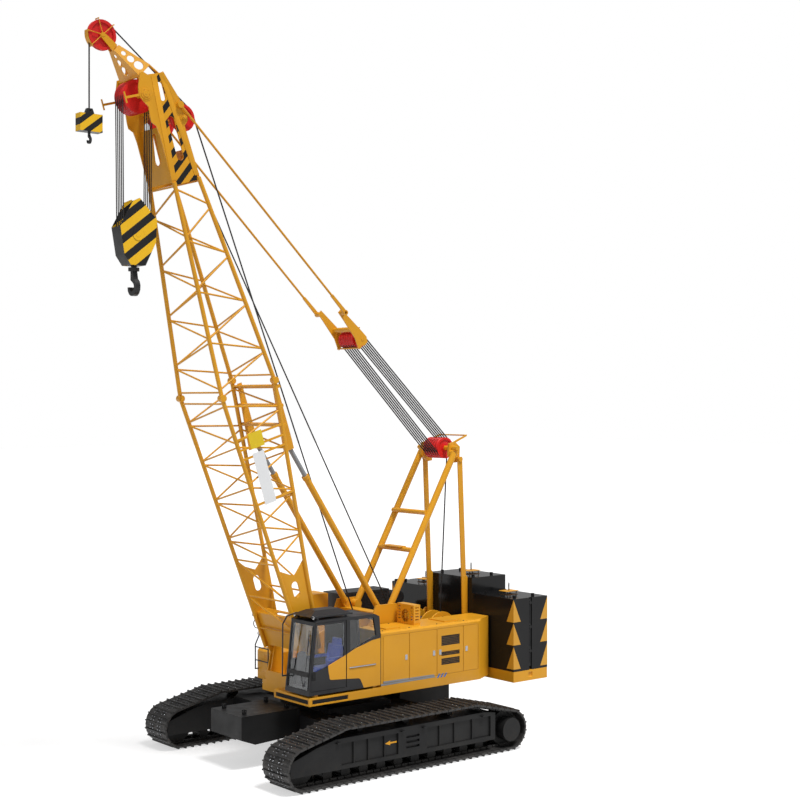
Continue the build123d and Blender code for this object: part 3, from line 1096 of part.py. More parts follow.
with BuildPart() as spreader:
    cheek = [(-150, -60), (-150, 60), (-40, 130), (180, 120), (SPREADER_LONG - 120, 75),
             (SPREADER_LONG + 70, 60), (SPREADER_LONG + 70, -60), (SPREADER_LONG - 120, -75), (180, -140),
             (-60, -240), (-110, -240), (-100, -120)]
    for y in (-SPREADER_Y - 30, SPREADER_Y):
        add(line_plate(cheek, y, y + 30))
    add(line_pin(0, 0, -SPREADER_Y - 40, SPREADER_Y + 40, SPREADER_AXLE_R))
    add(line_pin(330, 0, -SPREADER_Y - 5, SPREADER_Y + 5, 60))
    add(line_pin(-80, -222, -SPREADER_Y - 60, SPREADER_Y + 60, 18))
    add(line_plate([(225, 150), (280, 70), (300, 80), (245, 165)], -SPREADER_Y - 5, SPREADER_Y + 5))
    for y0, y1 in ((-SPREADER_Y - 110, -SPREADER_Y), (SPREADER_Y, SPREADER_Y + 110)):
        add(line_pin(SPREADER_LONG, 0, y0, y1, 34))
finish(spreader.part, "spreader")

PENDANT_Y = HEAD_OUT + SEAT + 42           # middle of a pendant bar
with BuildPart() as pendants:
    for sign in (-1, 1):
        side = Vector(0, sign * PENDANT_Y, 0)
        low = Vector(0, sign * (SPREADER_Y + 30 + SEAT + 30), 0)
        mid = AXLE + LINE * (SPREADER_LONG + 520) + side
        y0, y1 = span(sign, HEAD_OUT + FLANGE_UP + SEAT, PENDANT_Y + 30)
        add(pin(PEND_X, PEND_Z, y0, y1, PENDANT_EYE_R))
        add(rod(tuple(mid), tuple(HEAD_EYE + side - LINE * 60), 26))
        y0, y1 = span(sign, SPREADER_Y + 30 + SEAT, PENDANT_Y + 30)
        add(line_pin(SPREADER_LONG, 0, y0, y1, 62))
        ear = line_plate([(SPREADER_LONG, -45), (SPREADER_LONG + 560, -34), (SPREADER_LONG + 560, 34),
                          (SPREADER_LONG, 45)], *span(sign, PENDANT_Y - 20, PENDANT_Y + 20))
        add(ear)
        add(line_pin(SPREADER_LONG, 0, -PENDANT_Y - 60, PENDANT_Y + 60, 34 + SEAT), mode=Mode.SUBTRACT)
finish(pendants.part, "pendants")

# ---------------------------------------------------------------- hooks
BLOCK_Z = 11850.0                # axle of the hook block's sheaves
BLOCK_HALF = 200.0               # half thickness of the hook block
CHEEK_THICK = 30.0


def hook_shape(x, top, bend_z, bend_r, stem, thick):
    """A single hook that opens to the side: a stem that runs round a bend to a point."""
    arc = []
    for i in range(11):
        a = math.radians(90 - 27 * i)
        arc.append((a, bend_r + stem * (1 - 0.35 * max(0, i - 6) / 4)))
    rim = [(r * math.cos(a), bend_z + r * math.sin(a)) for a, r in arc]
    throat = [((bend_r - stem) * math.cos(a), bend_z + (bend_r - stem) * math.sin(a)) for a, r in arc]
    outline = [(-stem, top), (stem, top)] + rim[1:] + throat[:0:-1] + [(-stem, bend_z + bend_r)]
    return Pos(x, 0, 0) * Rot(0, 0, 90) * plate(outline, -thick / 2, thick / 2)


with BuildPart() as hook_block:
    side = [
        (MAIN_X - 220, BLOCK_Z + 600), (MAIN_X - 40, BLOCK_Z + 790), (MAIN_X + 130, BLOCK_Z + 710),
        (MAIN_X + 430, BLOCK_Z + 150), (MAIN_X + 330, BLOCK_Z - 450), (MAIN_X + 180, BLOCK_Z - 660),
        (MAIN_X - 180, BLOCK_Z - 660), (MAIN_X - 430, BLOCK_Z - 150), (MAIN_X - 460, BLOCK_Z + 350),
    ]
    inner_face = BLOCK_HALF - CHEEK_THICK
    for y0 in (-BLOCK_HALF, inner_face):
        add(plate(side, y0, y0 + CHEEK_THICK))
    add(pin(MAIN_X, BLOCK_Z, -BLOCK_HALF - 12, BLOCK_HALF + 12, BLOCK_AXLE_R))
    add(block(MAIN_X - 160, MAIN_X + 160, -inner_face - 5, inner_face + 5, BLOCK_Z - 650, BLOCK_Z - 520))
    add(pin(MAIN_X - 60, BLOCK_Z + 640, -inner_face - 5, inner_face + 5, 30))
    # casing that closes the front and the rear between the cheeks
    for rim in (((430, 150), (330, -450), (180, -660), (162, -655), (313, -443), (413, 150)),
                ((-460, 350), (-430, -150), (-180, -660), (-162, -655), (-413, -146), (-443, 350))):
        add(plate([(MAIN_X + x, BLOCK_Z + z) for x, z in rim], -inner_face - 5, inner_face + 5))
    for y0, y1 in ((-BLOCK_HALF - 10, -BLOCK_HALF + 5), (BLOCK_HALF - 5, BLOCK_HALF + 10)):
        add(pin(MAIN_X, BLOCK_Z, y0, y1, 130))
finish(hook_block.part, "hook_block")

with BuildPart() as block_sheaves:
    add(sheave_set(MAIN_X, BLOCK_Z, BLOCK_R, BLOCK_W, BLOCK_AXLE_R + SEAT, BLOCK_PITCH, BLOCK_COUNT))
finish(block_sheaves.part, "block_sheaves")

HOOK_TOP = BLOCK_Z - 650 - SEAT
with BuildPart() as main_hook:
    add(rod((MAIN_X, 0, HOOK_TOP - 190), (MAIN_X, 0, HOOK_TOP), 62))
    add(rod((MAIN_X, 0, HOOK_TOP - 130), (MAIN_X, 0, HOOK_TOP - 50), 120))
    add(hook_shape(MAIN_X, HOOK_TOP - 120, HOOK_TOP - 470, 150, 50, 110))
finish(main_hook.part, "main_hook")

AUX_X = TIP_X + 290.0
AUX_LOW, AUX_HIGH = 13950.0, 14330.0
with BuildPart() as aux_block:
    add(block(AUX_X - 260, AUX_X + 260, -110, 110, AUX_LOW, AUX_HIGH))
    cap = plate([(AUX_X - 110, AUX_HIGH - 5), (AUX_X - 60, AUX_HIGH + 120), (AUX_X + 60, AUX_HIGH + 120),
                 (AUX_X + 110, AUX_HIGH - 5)], -45, 45)
    add(cap)
    add(pin(AUX_X, AUX_HIGH + 70, -60, 60, 22), mode=Mode.SUBTRACT)
finish(aux_block.part, "aux_block")

with BuildPart() as aux_hook:
    add(rod((AUX_X, 0, AUX_LOW - 70), (AUX_X, 0, AUX_LOW - SEAT), 30))
    add(hook_shape(AUX_X, AUX_LOW - 60, AUX_LOW - 165, 62, 22, 48))
finish(aux_hook.part, "aux_hook")
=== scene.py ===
import json
import math
import bmesh
import bpy
from mathutils import Matrix, Vector


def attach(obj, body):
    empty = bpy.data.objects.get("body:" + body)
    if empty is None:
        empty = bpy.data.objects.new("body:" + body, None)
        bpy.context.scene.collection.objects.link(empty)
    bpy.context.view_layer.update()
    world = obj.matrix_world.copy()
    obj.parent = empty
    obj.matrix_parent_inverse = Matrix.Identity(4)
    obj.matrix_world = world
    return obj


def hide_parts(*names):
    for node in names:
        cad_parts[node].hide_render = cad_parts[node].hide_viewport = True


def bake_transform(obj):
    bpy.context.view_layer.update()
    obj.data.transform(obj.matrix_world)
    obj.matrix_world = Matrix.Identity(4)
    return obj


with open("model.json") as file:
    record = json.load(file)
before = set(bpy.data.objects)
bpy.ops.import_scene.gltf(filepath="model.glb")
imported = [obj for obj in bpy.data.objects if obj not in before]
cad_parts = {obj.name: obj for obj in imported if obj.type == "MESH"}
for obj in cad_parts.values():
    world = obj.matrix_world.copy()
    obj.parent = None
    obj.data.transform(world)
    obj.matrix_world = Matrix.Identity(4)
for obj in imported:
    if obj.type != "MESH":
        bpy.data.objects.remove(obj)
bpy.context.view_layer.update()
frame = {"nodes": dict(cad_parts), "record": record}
nodes = frame["nodes"]
bodies = frame["record"]["behaviour"]["bodies"]
bodyOf = {node: body for body, names in bodies.items() for node in names}
print("frame loaded:", len(nodes), "nodes")


# limits for merging, rounding and shading meshes
cleanFacts = {"merge": 0.0001, "cadMerge": 0.00005, "flat": math.radians(0.6), "edge": math.radians(30),
              "smooth": math.radians(40), "turned": math.radians(50)}


def deselectAll():
    # an operator acts on all that is selected, so each step starts clean
    active = bpy.context.view_layer.objects.active
    if active and active.mode != "OBJECT":
        bpy.ops.object.mode_set(mode="OBJECT")
    bpy.ops.object.select_all(action="DESELECT")


def takeUp(piece):
    deselectAll()
    piece.select_set(True)
    bpy.context.view_layer.objects.active = piece


def settle(piece):
    # puts its place, turn and size into the mesh
    takeUp(piece)
    bpy.ops.object.transform_apply(location=True, rotation=True, scale=True)
    return piece


def editAll(piece, mode="FACE"):
    takeUp(piece)
    bpy.ops.object.mode_set(mode="EDIT")
    bpy.ops.mesh.select_mode(type=mode)
    bpy.ops.mesh.select_all(action="SELECT")


def editNone(piece):
    editAll(piece)
    bpy.ops.mesh.select_all(action="DESELECT")
    return bmesh.from_edit_mesh(piece.data)


def leaveEdit():
    bpy.ops.object.mode_set(mode="OBJECT")


def pickFaces(piece, test):
    # faces chosen by their middle and normal, ready for an operator
    mesh = editNone(piece)
    mesh.faces.ensure_lookup_table()
    for face in mesh.faces:
        if test(face.calc_center_median(), face.normal):
            face.select_set(True)
    bmesh.update_edit_mesh(piece.data)


def roundEdges(piece, width, segments=1, angle=cleanFacts["edge"]):
    # eases the sharp edges and keeps the flat faces flat in their shading
    takeUp(piece)
    bevel = piece.modifiers.new("edges", "BEVEL")
    bevel.width = width
    bevel.segments = segments
    bevel.limit_method = "ANGLE"
    bevel.angle_limit = angle
    bpy.ops.object.modifier_apply(modifier=bevel.name)
    bpy.ops.object.shade_smooth_by_angle(angle=cleanFacts["smooth"])
    weigh = piece.modifiers.new("flat faces stay flat", "WEIGHTED_NORMAL")
    weigh.keep_sharp = True
    bpy.ops.object.modifier_apply(modifier=weigh.name)
    return piece


def finishPiece(piece, material, body=None, instead=()):
    # gives the finish, the body it rides on and the nodes it stands for
    piece.data.materials.clear()
    piece.data.materials.append(material)
    if body:
        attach(piece, body)
    if instead:
        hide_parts(*instead)
    return piece


def addBlock(name, low, high, edge=0.004):
    # a block from corner to corner, its edges rounded where a width is given
    deselectAll()
    middle = [(a + b) / 2 for a, b in zip(low, high)]
    bpy.ops.mesh.primitive_cube_add(size=1, location=middle)
    piece = bpy.context.object
    piece.name = name
    piece.scale = [abs(b - a) for a, b in zip(low, high)]
    settle(piece)
    if edge:
        roundEdges(piece, edge)
    return piece


def addRound(name, start, end, radius, sides=20, rim=0.003):
    # a turned piece between two points, its rims eased
    deselectAll()
    start, end = Vector(start), Vector(end)
    line = end - start
    bpy.ops.mesh.primitive_cylinder_add(vertices=sides, radius=radius, depth=line.length,
                                        location=(start + end) / 2)
    piece = bpy.context.object
    piece.name = name
    piece.rotation_euler = line.to_track_quat("Z", "Y").to_euler()
    settle(piece)
    if rim:
        roundEdges(piece, rim, 1, cleanFacts["turned"])
    else:
        bpy.ops.object.shade_smooth_by_angle(angle=cleanFacts["turned"])
    return piece


def addSheet(name, spots, outward, thick, edge=0.0):
    # a flat outline in space given a thickness along a direction
    deselectAll()
    bpy.ops.mesh.primitive_circle_add(vertices=len(spots), radius=1, fill_type="NGON")
    piece = bpy.context.object
    piece.name = name
    for vert, spot in zip(piece.data.vertices, spots):
        vert.co = spot
    editAll(piece)
    bpy.ops.mesh.extrude_region_move(TRANSFORM_OT_translate={"value": Vector(outward) * thick})
    bpy.ops.mesh.select_all(action="SELECT")
    bpy.ops.mesh.normals_make_consistent(inside=False)
    leaveEdit()
    if edge:
        roundEdges(piece, edge)
    return piece


def addRing(name, centre, radius, wire, segments, turn=0.0):
    # a ring of round wire standing on its edge, turned about the vertical
    deselectAll()
    around, across = segments
    bpy.ops.mesh.primitive_torus_add(major_segments=around, minor_segments=across, major_radius=radius,
                                     minor_radius=wire, location=centre, rotation=(math.pi / 2, 0, turn))
    piece = settle(bpy.context.object)
    piece.name = name
    bpy.ops.object.shade_smooth()
    return piece


def addBent(name, spots, radius, bend=0.05):
    # a tube bent through the points
    deselectAll()
    bpy.ops.curve.primitive_nurbs_path_add()
    piece = bpy.context.object
    piece.name = name
    curve = piece.data
    curve.splines.clear()
    spline = curve.splines.new("POLY")
    line = [Vector(p) for p in spots]
    path = [line[0]]
    for before, corner, after in zip(line, line[1:], line[2:]):
        back = (before - corner).normalized() * min(bend, (before - corner).length * 0.45)
        ahead = (after - corner).normalized() * min(bend, (after - corner).length * 0.45)
        for i in range(5):
            t = i / 4
            path.append(corner + back * (1 - t) ** 2 + ahead * t ** 2)
    path.append(line[-1])
    spline.points.add(len(path) - 1)
    for point, spot in zip(spline.points, path):
        point.co = (*spot, 1)
    curve.dimensions = "3D"
    curve.bevel_depth = radius
    curve.bevel_resolution = 1
    curve.use_fill_caps = True
    takeUp(piece)
    bpy.ops.object.convert(target="MESH")
    piece = bpy.context.object
    editAll(piece)
    bpy.ops.mesh.remove_doubles(threshold=cleanFacts["merge"])
    bpy.ops.mesh.normals_make_consistent(inside=False)
    leaveEdit()
    bpy.ops.object.shade_smooth_by_angle(angle=cleanFacts["turned"])
    return piece


def again(piece, name, move, turn=None):
    # a copy with its own mesh
    twin = piece.copy()
    twin.data = piece.data.copy()
    twin.name = name
    bpy.context.collection.objects.link(twin)
    place = Matrix.Translation(Vector(move))
    if turn:
        place = place @ turn
    twin.data.transform(place)
    return twin


def joinAll(pieces, name):
    deselectAll()
    for piece in pieces:
        piece.select_set(True)
    bpy.context.view_layer.objects.active = pieces[0]
    if len(pieces) > 1:
        bpy.ops.object.join()
    piece = bpy.context.object
    piece.name = name
    return piece


def recolour(piece, material, test):
    # faces that pass the test get another finish
    piece.data.materials.append(material)
    slot = len(piece.data.materials) - 1
    for face in piece.data.polygons:
        if test(face.center, face.normal):
            face.material_index = slot


def addBolts(name, spots, outward, radius):
    # hexagon heads on washers, one modelled and the rest laid from it
    washer = addRound("washer", (0, 0, -0.002), (0, 0, radius * 0.22), radius * 1.5, 14, radius * 0.08)
    head = addRound("head", (0, 0, radius * 0.2), (0, 0, radius * 0.95), radius, 6, radius * 0.12)
    bolt = joinAll([washer, head], "bolt")
    turn = Vector(outward).to_track_quat("Z", "Y").to_matrix().to_4x4()
    laid = [again(bolt, "bolt", spot, turn) for spot in spots]
    bpy.data.objects.remove(bolt)
    return joinAll(laid, name)


def copyOfNode(node):
    # a copy of a CAD node whose loose triangles are merged into real faces
    cad = nodes[node]
    piece = cad.copy()
    piece.data = cad.data.copy()
    piece.name = node + "Body"
    bpy.context.collection.objects.link(piece)
    piece.parent = None
    piece.matrix_world = Matrix.Identity(4)
    editAll(piece, "VERT")
    bpy.ops.mesh.remove_doubles(threshold=cleanFacts["cadMerge"])
    bpy.ops.mesh.dissolve_limited(angle_limit=cleanFacts["flat"])
    leaveEdit()
    return piece


def paintNode(node, material):
    nodes[node].data.materials.clear()
    nodes[node].data.materials.append(material)


def roundNode(node, material, edge):
    # a copy with rounded edges stands for the node
    return finishPiece(roundEdges(copyOfNode(node), edge, 2), material, bodyOf[node], (node,))


def newFinish(name):
    # a material with its shader and its coordinates
    material = bpy.data.materials.new(name)
    material.use_nodes = True
    tree = material.node_tree
    shader = tree.nodes["Principled BSDF"]
    place = tree.nodes.new("ShaderNodeTexCoord")
    return material, tree, shader, place


def addNode(tree, kind, **values):
    node = tree.nodes.new(kind)
    for key, value in values.items():
        if hasattr(node, key):
            setattr(node, key, value)
        else:
            node.inputs[key.replace("_", " ")].default_value = value
    return node


def noiseOf(tree, place, scale, detail):
    noise = addNode(tree, "ShaderNodeTexNoise", Scale=scale, Detail=detail)
    tree.links.new(place.outputs["Object"], noise.inputs["Vector"])
    return noise.outputs["Fac"]


def spread(tree, source, low, high, fromLow=0.3, fromHigh=0.7):
    # noise carried to the range a socket wants
    node = tree.nodes.new("ShaderNodeMapRange")
    node.inputs["From Min"].default_value = fromLow
    node.inputs["From Max"].default_value = fromHigh
    node.inputs["To Min"].default_value = low
    node.inputs["To Max"].default_value = high
    tree.links.new(source, node.inputs["Value"])
    return node.outputs["Result"]


def blendColours(tree, factor, first, second):
    node = tree.nodes.new("ShaderNodeMix")
    node.data_type = "RGBA"
    for socket, colour in ((node.inputs[6], first), (node.inputs[7], second)):
        if isinstance(colour, tuple):
            socket.default_value = (*colour, 1)
        else:
            tree.links.new(colour, socket)
    tree.links.new(factor, node.inputs[0])
    return node.outputs[2]


def bumpOf(tree, shader, height, strength, distance):
    bump = addNode(tree, "ShaderNodeBump", Strength=strength, Distance=distance)
    tree.links.new(height, bump.inputs["Height"])
    tree.links.new(bump.outputs["Normal"], shader.inputs["Normal"])


def paintFinish(name, colour, shade, rough=(0.30, 0.44), coat=0.06, grain=220.0, dust=None, metal=0.0,
                gleam=0.3):
    # sprayed paint: slow shifts of colour, orange peel, and dust that gathers low down
    material, tree, shader, place = newFinish(name)
    patch = spread(tree, noiseOf(tree, place, 0.9, 5), 0.0, 1.0, 0.38, 0.66)
    base = blendColours(tree, patch, colour, shade)
    if dust:
        height, dustColour = dust
        parts = tree.nodes.new("ShaderNodeSeparateXYZ")
        tree.links.new(place.outputs["Object"], parts.inputs[0])
        low = spread(tree, parts.outputs["Z"], 0.75, 0.0, 0.0, height)
        speck = spread(tree, noiseOf(tree, place, 7.0, 8), 0.0, 1.0, 0.4, 0.75)
        both = addNode(tree, "ShaderNodeMath", operation="MULTIPLY")
        tree.links.new(low, both.inputs[0])
        tree.links.new(speck, both.inputs[1])
        base = blendColours(tree, both.outputs[0], base, dustColour)
    tree.links.new(base, shader.inputs["Base Color"])
    tree.links.new(spread(tree, noiseOf(tree, place, 3.2, 6), *rough), shader.inputs["Roughness"])
    shader.inputs["Coat Weight"].default_value = coat
    shader.inputs["Coat Roughness"].default_value = 0.15
    shader.inputs["Specular IOR Level"].default_value = gleam
    shader.inputs["Metallic"].default_value = metal
    bumpOf(tree, shader, noiseOf(tree, place, grain, 2), 0.12, 0.001)
    return material


def bandAlong(tree, place, direction, pitch, share, offset):
    # 1 inside a band, 0 outside, repeating along a direction
    dot = addNode(tree, "ShaderNodeVectorMath", operation="DOT_PRODUCT")
    tree.links.new(place.outputs["Object"], dot.inputs[0])
    dot.inputs[1].default_value = [d / pitch for d in direction]
    shift = addNode(tree, "ShaderNodeMath", operation="ADD")
    shift.inputs[1].default_value = offset
    tree.links.new(dot.outputs["Value"], shift.inputs[0])
    part = addNode(tree, "ShaderNodeMath", operation="FRACT")
    tree.links.new(shift.outputs[0], part.inputs[0])
    band = addNode(tree, "ShaderNodeMath", operation="LESS_THAN")
    band.inputs[1].default_value = share
    tree.links.new(part.outputs[0], band.inputs[0])
    return band.outputs[0]


def stripeFinish(name, paint, bars, direction, pitch, share, offset, only=None):
    # slanting bars over sprayed paint; only names the axis that the barred faces look along
    material, tree, shader, place = newFinish(name)
    patch = spread(tree, noiseOf(tree, place, 1.1, 5), 0.0, 0.25, 0.38, 0.66)
    base = blendColours(tree, patch, paint, tuple(c * 0.8 for c in paint))
    band = bandAlong(tree, place, direction, pitch, share, offset)
    if only:
        geometry = tree.nodes.new("ShaderNodeNewGeometry")
        parts = tree.nodes.new("ShaderNodeSeparateXYZ")
        tree.links.new(geometry.outputs["Normal"], parts.inputs[0])
        size = addNode(tree, "ShaderNodeMath", operation="ABSOLUTE")
        tree.links.new(parts.outputs[only], size.inputs[0])
        facing = addNode(tree, "ShaderNodeMath", operation="GREATER_THAN")
        facing.inputs[1].default_value = 0.9
        tree.links.new(size.outputs[0], facing.inputs[0])
        both = addNode(tree, "ShaderNodeMath", operation="MULTIPLY")
        tree.links.new(band, both.inputs[0])
        tree.links.new(facing.outputs[0], both.inputs[1])
        edge = blendColours(tree, facing.outputs[0], bars, base)
        base = blendColours(tree, both.outputs[0], edge, bars)
    else:
        base = blendColours(tree, band, base, bars)
    tree.links.new(base, shader.inputs["Base Color"])
    tree.links.new(spread(tree, noiseOf(tree, place, 4.0, 6), 0.34, 0.48), shader.inputs["Roughness"])
    shader.inputs["Specular IOR Level"].default_value = 0.25
    bumpOf(tree, shader, noiseOf(tree, place, 200.0, 2), 0.1, 0.001)
    return material


colours = {
    "yellow": (0.745, 0.345, 0.016), "yellowShade": (0.69, 0.315, 0.014),
    "barYellow": (0.90, 0.52, 0.02), "barBlack": (0.016, 0.016, 0.017), "headBlack": (0.012, 0.012, 0.013),
}
barLean = (0.62, 0, 0.785)
finishes = {
    "yellow": paintFinish("yellowPaint", colours["yellow"], colours["yellowShade"]),
    "black": paintFinish("blackPaint", (0.018, 0.018, 0.020), (0.026, 0.026, 0.027), rough=(0.34, 0.5)),
    "chassis": paintFinish("chassisPaint", (0.010, 0.010, 0.0105), (0.016, 0.016, 0.016), rough=(0.38, 0.56),
                           coat=0.02, dust=(0.7, (0.030, 0.026, 0.021)), gleam=0.2),
    "red": paintFinish("sheavePaint", (0.72, 0.022, 0.020), (0.60, 0.016, 0.015), rough=(0.3, 0.45)),
    "grey": paintFinish("greyPaint", (0.30, 0.31, 0.32), (0.24, 0.25, 0.26)),
    "blue": paintFinish("blueFilm", (0.05, 0.20, 0.52), (0.04, 0.16, 0.44)),
    "white": paintFinish("whiteBoard", (0.86, 0.87, 0.88), (0.80, 0.81, 0.82), rough=(0.4, 0.55), coat=0.1),
    "signYellow": paintFinish("yellowBoard", (0.80, 0.58, 0.02), (0.74, 0.52, 0.02), rough=(0.4, 0.55),
                              coat=0.1),
    "chrome": paintFinish("brightSteel", (0.40, 0.41, 0.43), (0.30, 0.31, 0.33), rough=(0.15, 0.32), coat=0.0,
                          metal=1.0),
    "gloss": paintFinish("blackGloss", (0.008, 0.008, 0.0085), (0.011, 0.011, 0.0115), rough=(0.10, 0.18),
                         coat=0.0, grain=160.0, gleam=0.2),
    "dark": paintFinish("darkGrille", (0.030, 0.028, 0.026), (0.022, 0.021, 0.020), rough=(0.5, 0.7),
                        coat=0.0, grain=90.0),
    "console": paintFinish("cabPlastic", (0.105, 0.105, 0.110), (0.085, 0.085, 0.090), rough=(0.5, 0.65),
                           coat=0.0, grain=90.0),
    "brown": paintFinish("primerBrown", (0.14, 0.075, 0.03), (0.11, 0.055, 0.022), rough=(0.5, 0.65),
                         coat=0.0, grain=90.0),
    "triangle": paintFinish("triangleFilm", (0.70, 0.345, 0.030), (0.66, 0.32, 0.027), rough=(0.3, 0.4),
                            coat=0.1),
    "iron": paintFinish("castIron", (0.10, 0.10, 0.105), (0.07, 0.07, 0.07), rough=(0.5, 0.7), coat=0.0,
                        grain=90.0),
    "hookBars": stripeFinish("hookBars", colours["barYellow"], colours["barBlack"], barLean, pitch=0.345,
                             share=0.46, offset=0.18, only="Y"),
    "auxBars": stripeFinish("auxBars", colours["barYellow"], colours["barBlack"], barLean, pitch=0.25,
                            share=0.46, offset=0.12),
}


def rubberFinish():
    material, tree, shader, place = newFinish("blackRubber")
    patch = spread(tree, noiseOf(tree, place, 14.0, 5), 0.0, 1.0)
    base = blendColours(tree, patch, (0.012, 0.012, 0.012), (0.03, 0.03, 0.03))
    tree.links.new(base, shader.inputs["Base Color"])
    tree.links.new(spread(tree, noiseOf(tree, place, 20.0, 4), 0.6, 0.8), shader.inputs["Roughness"])
    bumpOf(tree, shader, noiseOf(tree, place, 380.0, 2), 0.25, 0.0008)
    return material


def ropeFinish():
    # laid wire rope: strands as fine slanting bands
    material, tree, shader, place = newFinish("wireRope")
    wave = addNode(tree, "ShaderNodeTexWave", Scale=26.0, Distortion=0.3, Detail=1.0)
    wave.wave_type = "BANDS"
    wave.bands_direction = "DIAGONAL"
    tree.links.new(place.outputs["Object"], wave.inputs["Vector"])
    tree.links.new(blendColours(tree, wave.outputs["Fac"], (0.006, 0.006, 0.007), (0.022, 0.022, 0.023)),
                   shader.inputs["Base Color"])
    tree.links.new(spread(tree, noiseOf(tree, place, 9.0, 4), 0.4, 0.6), shader.inputs["Roughness"])
    shader.inputs["Metallic"].default_value = 0.2
    bumpOf(tree, shader, wave.outputs["Fac"], 0.5, 0.002)
    return material


def glassFinish():
    material, tree, shader, place = newFinish("windowGlass")
    smear = spread(tree, noiseOf(tree, place, 1.6, 5), 0.0, 0.02)
    tree.links.new(smear, shader.inputs["Roughness"])
    shader.inputs["Base Color"].default_value = (0.84, 0.87, 0.88, 1)
    shader.inputs["Transmission Weight"].default_value = 1.0
    shader.inputs["IOR"].default_value = 1.45
    return material


def clothFinish():
    # woven seat cloth
    material, tree, shader, place = newFinish("seatCloth")
    weave = tree.nodes.new("ShaderNodeTexChecker")
    weave.inputs["Scale"].default_value = 260.0
    tree.links.new(place.outputs["Object"], weave.inputs["Vector"])
    patch = spread(tree, noiseOf(tree, place, 5.0, 6), 0.0, 1.0)
    base = blendColours(tree, patch, (0.045, 0.11, 0.62), (0.060, 0.14, 0.72))
    base = blendColours(tree, weave.outputs["Fac"], base, (0.035, 0.085, 0.50))
    tree.links.new(base, shader.inputs["Base Color"])
    shader.inputs["Roughness"].default_value = 0.85
    shader.inputs["Sheen Weight"].default_value = 0.4
    bumpOf(tree, shader, weave.outputs["Fac"], 0.3, 0.001)
    return material


def steelFinish():
    # cast track steel: rough, darker and lighter in noise patches, with brownish grit
    material, tree, shader, place = newFinish("trackSteel")
    patch = spread(tree, noiseOf(tree, place, 5.0, 8), 0.0, 1.0)
    base = blendColours(tree, patch, (0.020, 0.020, 0.021), (0.055, 0.052, 0.050))
    grit = spread(tree, noiseOf(tree, place, 28.0, 8), 0.0, 0.55, 0.5, 0.8)
    base = blendColours(tree, grit, base, (0.095, 0.085, 0.075))
    tree.links.new(base, shader.inputs["Base Color"])
    shader.inputs["Metallic"].default_value = 0.35
    tree.links.new(spread(tree, noiseOf(tree, place, 12.0, 6), 0.38, 0.62), shader.inputs["Roughness"])
    bumpOf(tree, shader, noiseOf(tree, place, 70.0, 8), 0.35, 0.003)
    return material


finishes["rubber"] = rubberFinish()
finishes["rope"] = ropeFinish()
finishes["glass"] = glassFinish()
finishes["cloth"] = clothFinish()
finishes["steel"] = steelFinish()
print("finishes made:", len(finishes))


settingFacts = {
    "floor": 400, "floorZ": -0.002, "floorTone": 0.5, "lift": 0.56, "fill": 0.38,
    "suns": (("keySun", 3.0, 14, (0.08, -0.38, -0.92)), ("frontSun", 0.35, 30, (-0.8, -0.35, -0.35))),
    "cameraAt": (20.625, 27.772, 8.293), "cameraTurn": 0.6838, "lens": 64.93,
}


def eitherRay(tree, first, second):
    # 1 for two kinds of rays, 0 for the rest
    rays = tree.nodes.new("ShaderNodeLightPath")
    seen = addNode(tree, "ShaderNodeMath", operation="MAXIMUM")
    tree.links.new(rays.outputs[first], seen.inputs[0])
    tree.links.new(rays.outputs[second], seen.inputs[1])
    return seen.outputs[0]


def makeFloor(facts):
    # takes the shadow, and looks white to the camera and in reflections
    deselectAll()
    bpy.ops.mesh.primitive_plane_add(size=facts["floor"], location=(0, 0, facts["floorZ"]))
    floor = settle(bpy.context.object)
    floor.name = "studioFloor"
    material, tree, shader, place = newFinish("studioWhite")
    tree.nodes.remove(shader)
    matt = addNode(tree, "ShaderNodeBsdfDiffuse", Color=(*[facts["floorTone"]] * 3, 1))
    glow = tree.nodes.new("ShaderNodeEmission")
    power = addNode(tree, "ShaderNodeMath", operation="MULTIPLY")
    power.inputs[1].default_value = facts["lift"]
    tree.links.new(eitherRay(tree, "Is Camera Ray", "Is Glossy Ray"), power.inputs[0])
    tree.links.new(power.outputs[0], glow.inputs["Strength"])
    both = tree.nodes.new("ShaderNodeAddShader")
    tree.links.new(matt.outputs[0], both.inputs[0])
    tree.links.new(glow.outputs[0], both.inputs[1])
    tree.links.new(both.outputs[0], tree.nodes["Material Output"].inputs["Surface"])
    floor.data.materials.append(material)


def lightWorld(facts):
    # a soft fill from all round, plain white behind the crane and through its glass
    world = bpy.data.worlds.new("studio")
    bpy.context.scene.world = world
    world.use_nodes = True
    tree = world.node_tree
    soft = tree.nodes["Background"]
    soft.inputs["Color"].default_value = (1, 1, 1, 1)
    soft.inputs["Strength"].default_value = facts["fill"]
    plain = addNode(tree, "ShaderNodeBackground", Color=(1, 1, 1, 1), Strength=1.0)
    mix = tree.nodes.new("ShaderNodeMixShader")
    tree.links.new(eitherRay(tree, "Is Camera Ray", "Is Transmission Ray"), mix.inputs[0])
    tree.links.new(soft.outputs[0], mix.inputs[1])
    tree.links.new(plain.outputs[0], mix.inputs[2])
    tree.links.new(mix.outputs[0], tree.nodes["World Output"].inputs["Surface"])


def placeSuns(facts):
    for name, power, angle, aim in facts["suns"]:
        bpy.ops.object.light_add(type="SUN")
        sun = bpy.context.object
        sun.name = name
        sun.data.energy = power
        sun.data.angle = math.radians(angle)
        sun.rotation_euler = Vector(aim).to_track_quat("-Z", "Y").to_euler()


def placeCamera(facts):
    bpy.ops.object.camera_add(location=facts["cameraAt"],
                              rotation=(math.pi / 2, 0, math.pi - facts["cameraTurn"]))
    camera = bpy.context.object
    camera.data.lens = facts["lens"]
    camera.data.sensor_width = 36
    camera.data.clip_end = 500
    bpy.context.scene.camera = camera
    bpy.context.scene.view_settings.view_transform = "Standard"


makeFloor(settingFacts)
lightWorld(settingFacts)
placeSuns(settingFacts)
placeCamera(settingFacts)
print("setting made")


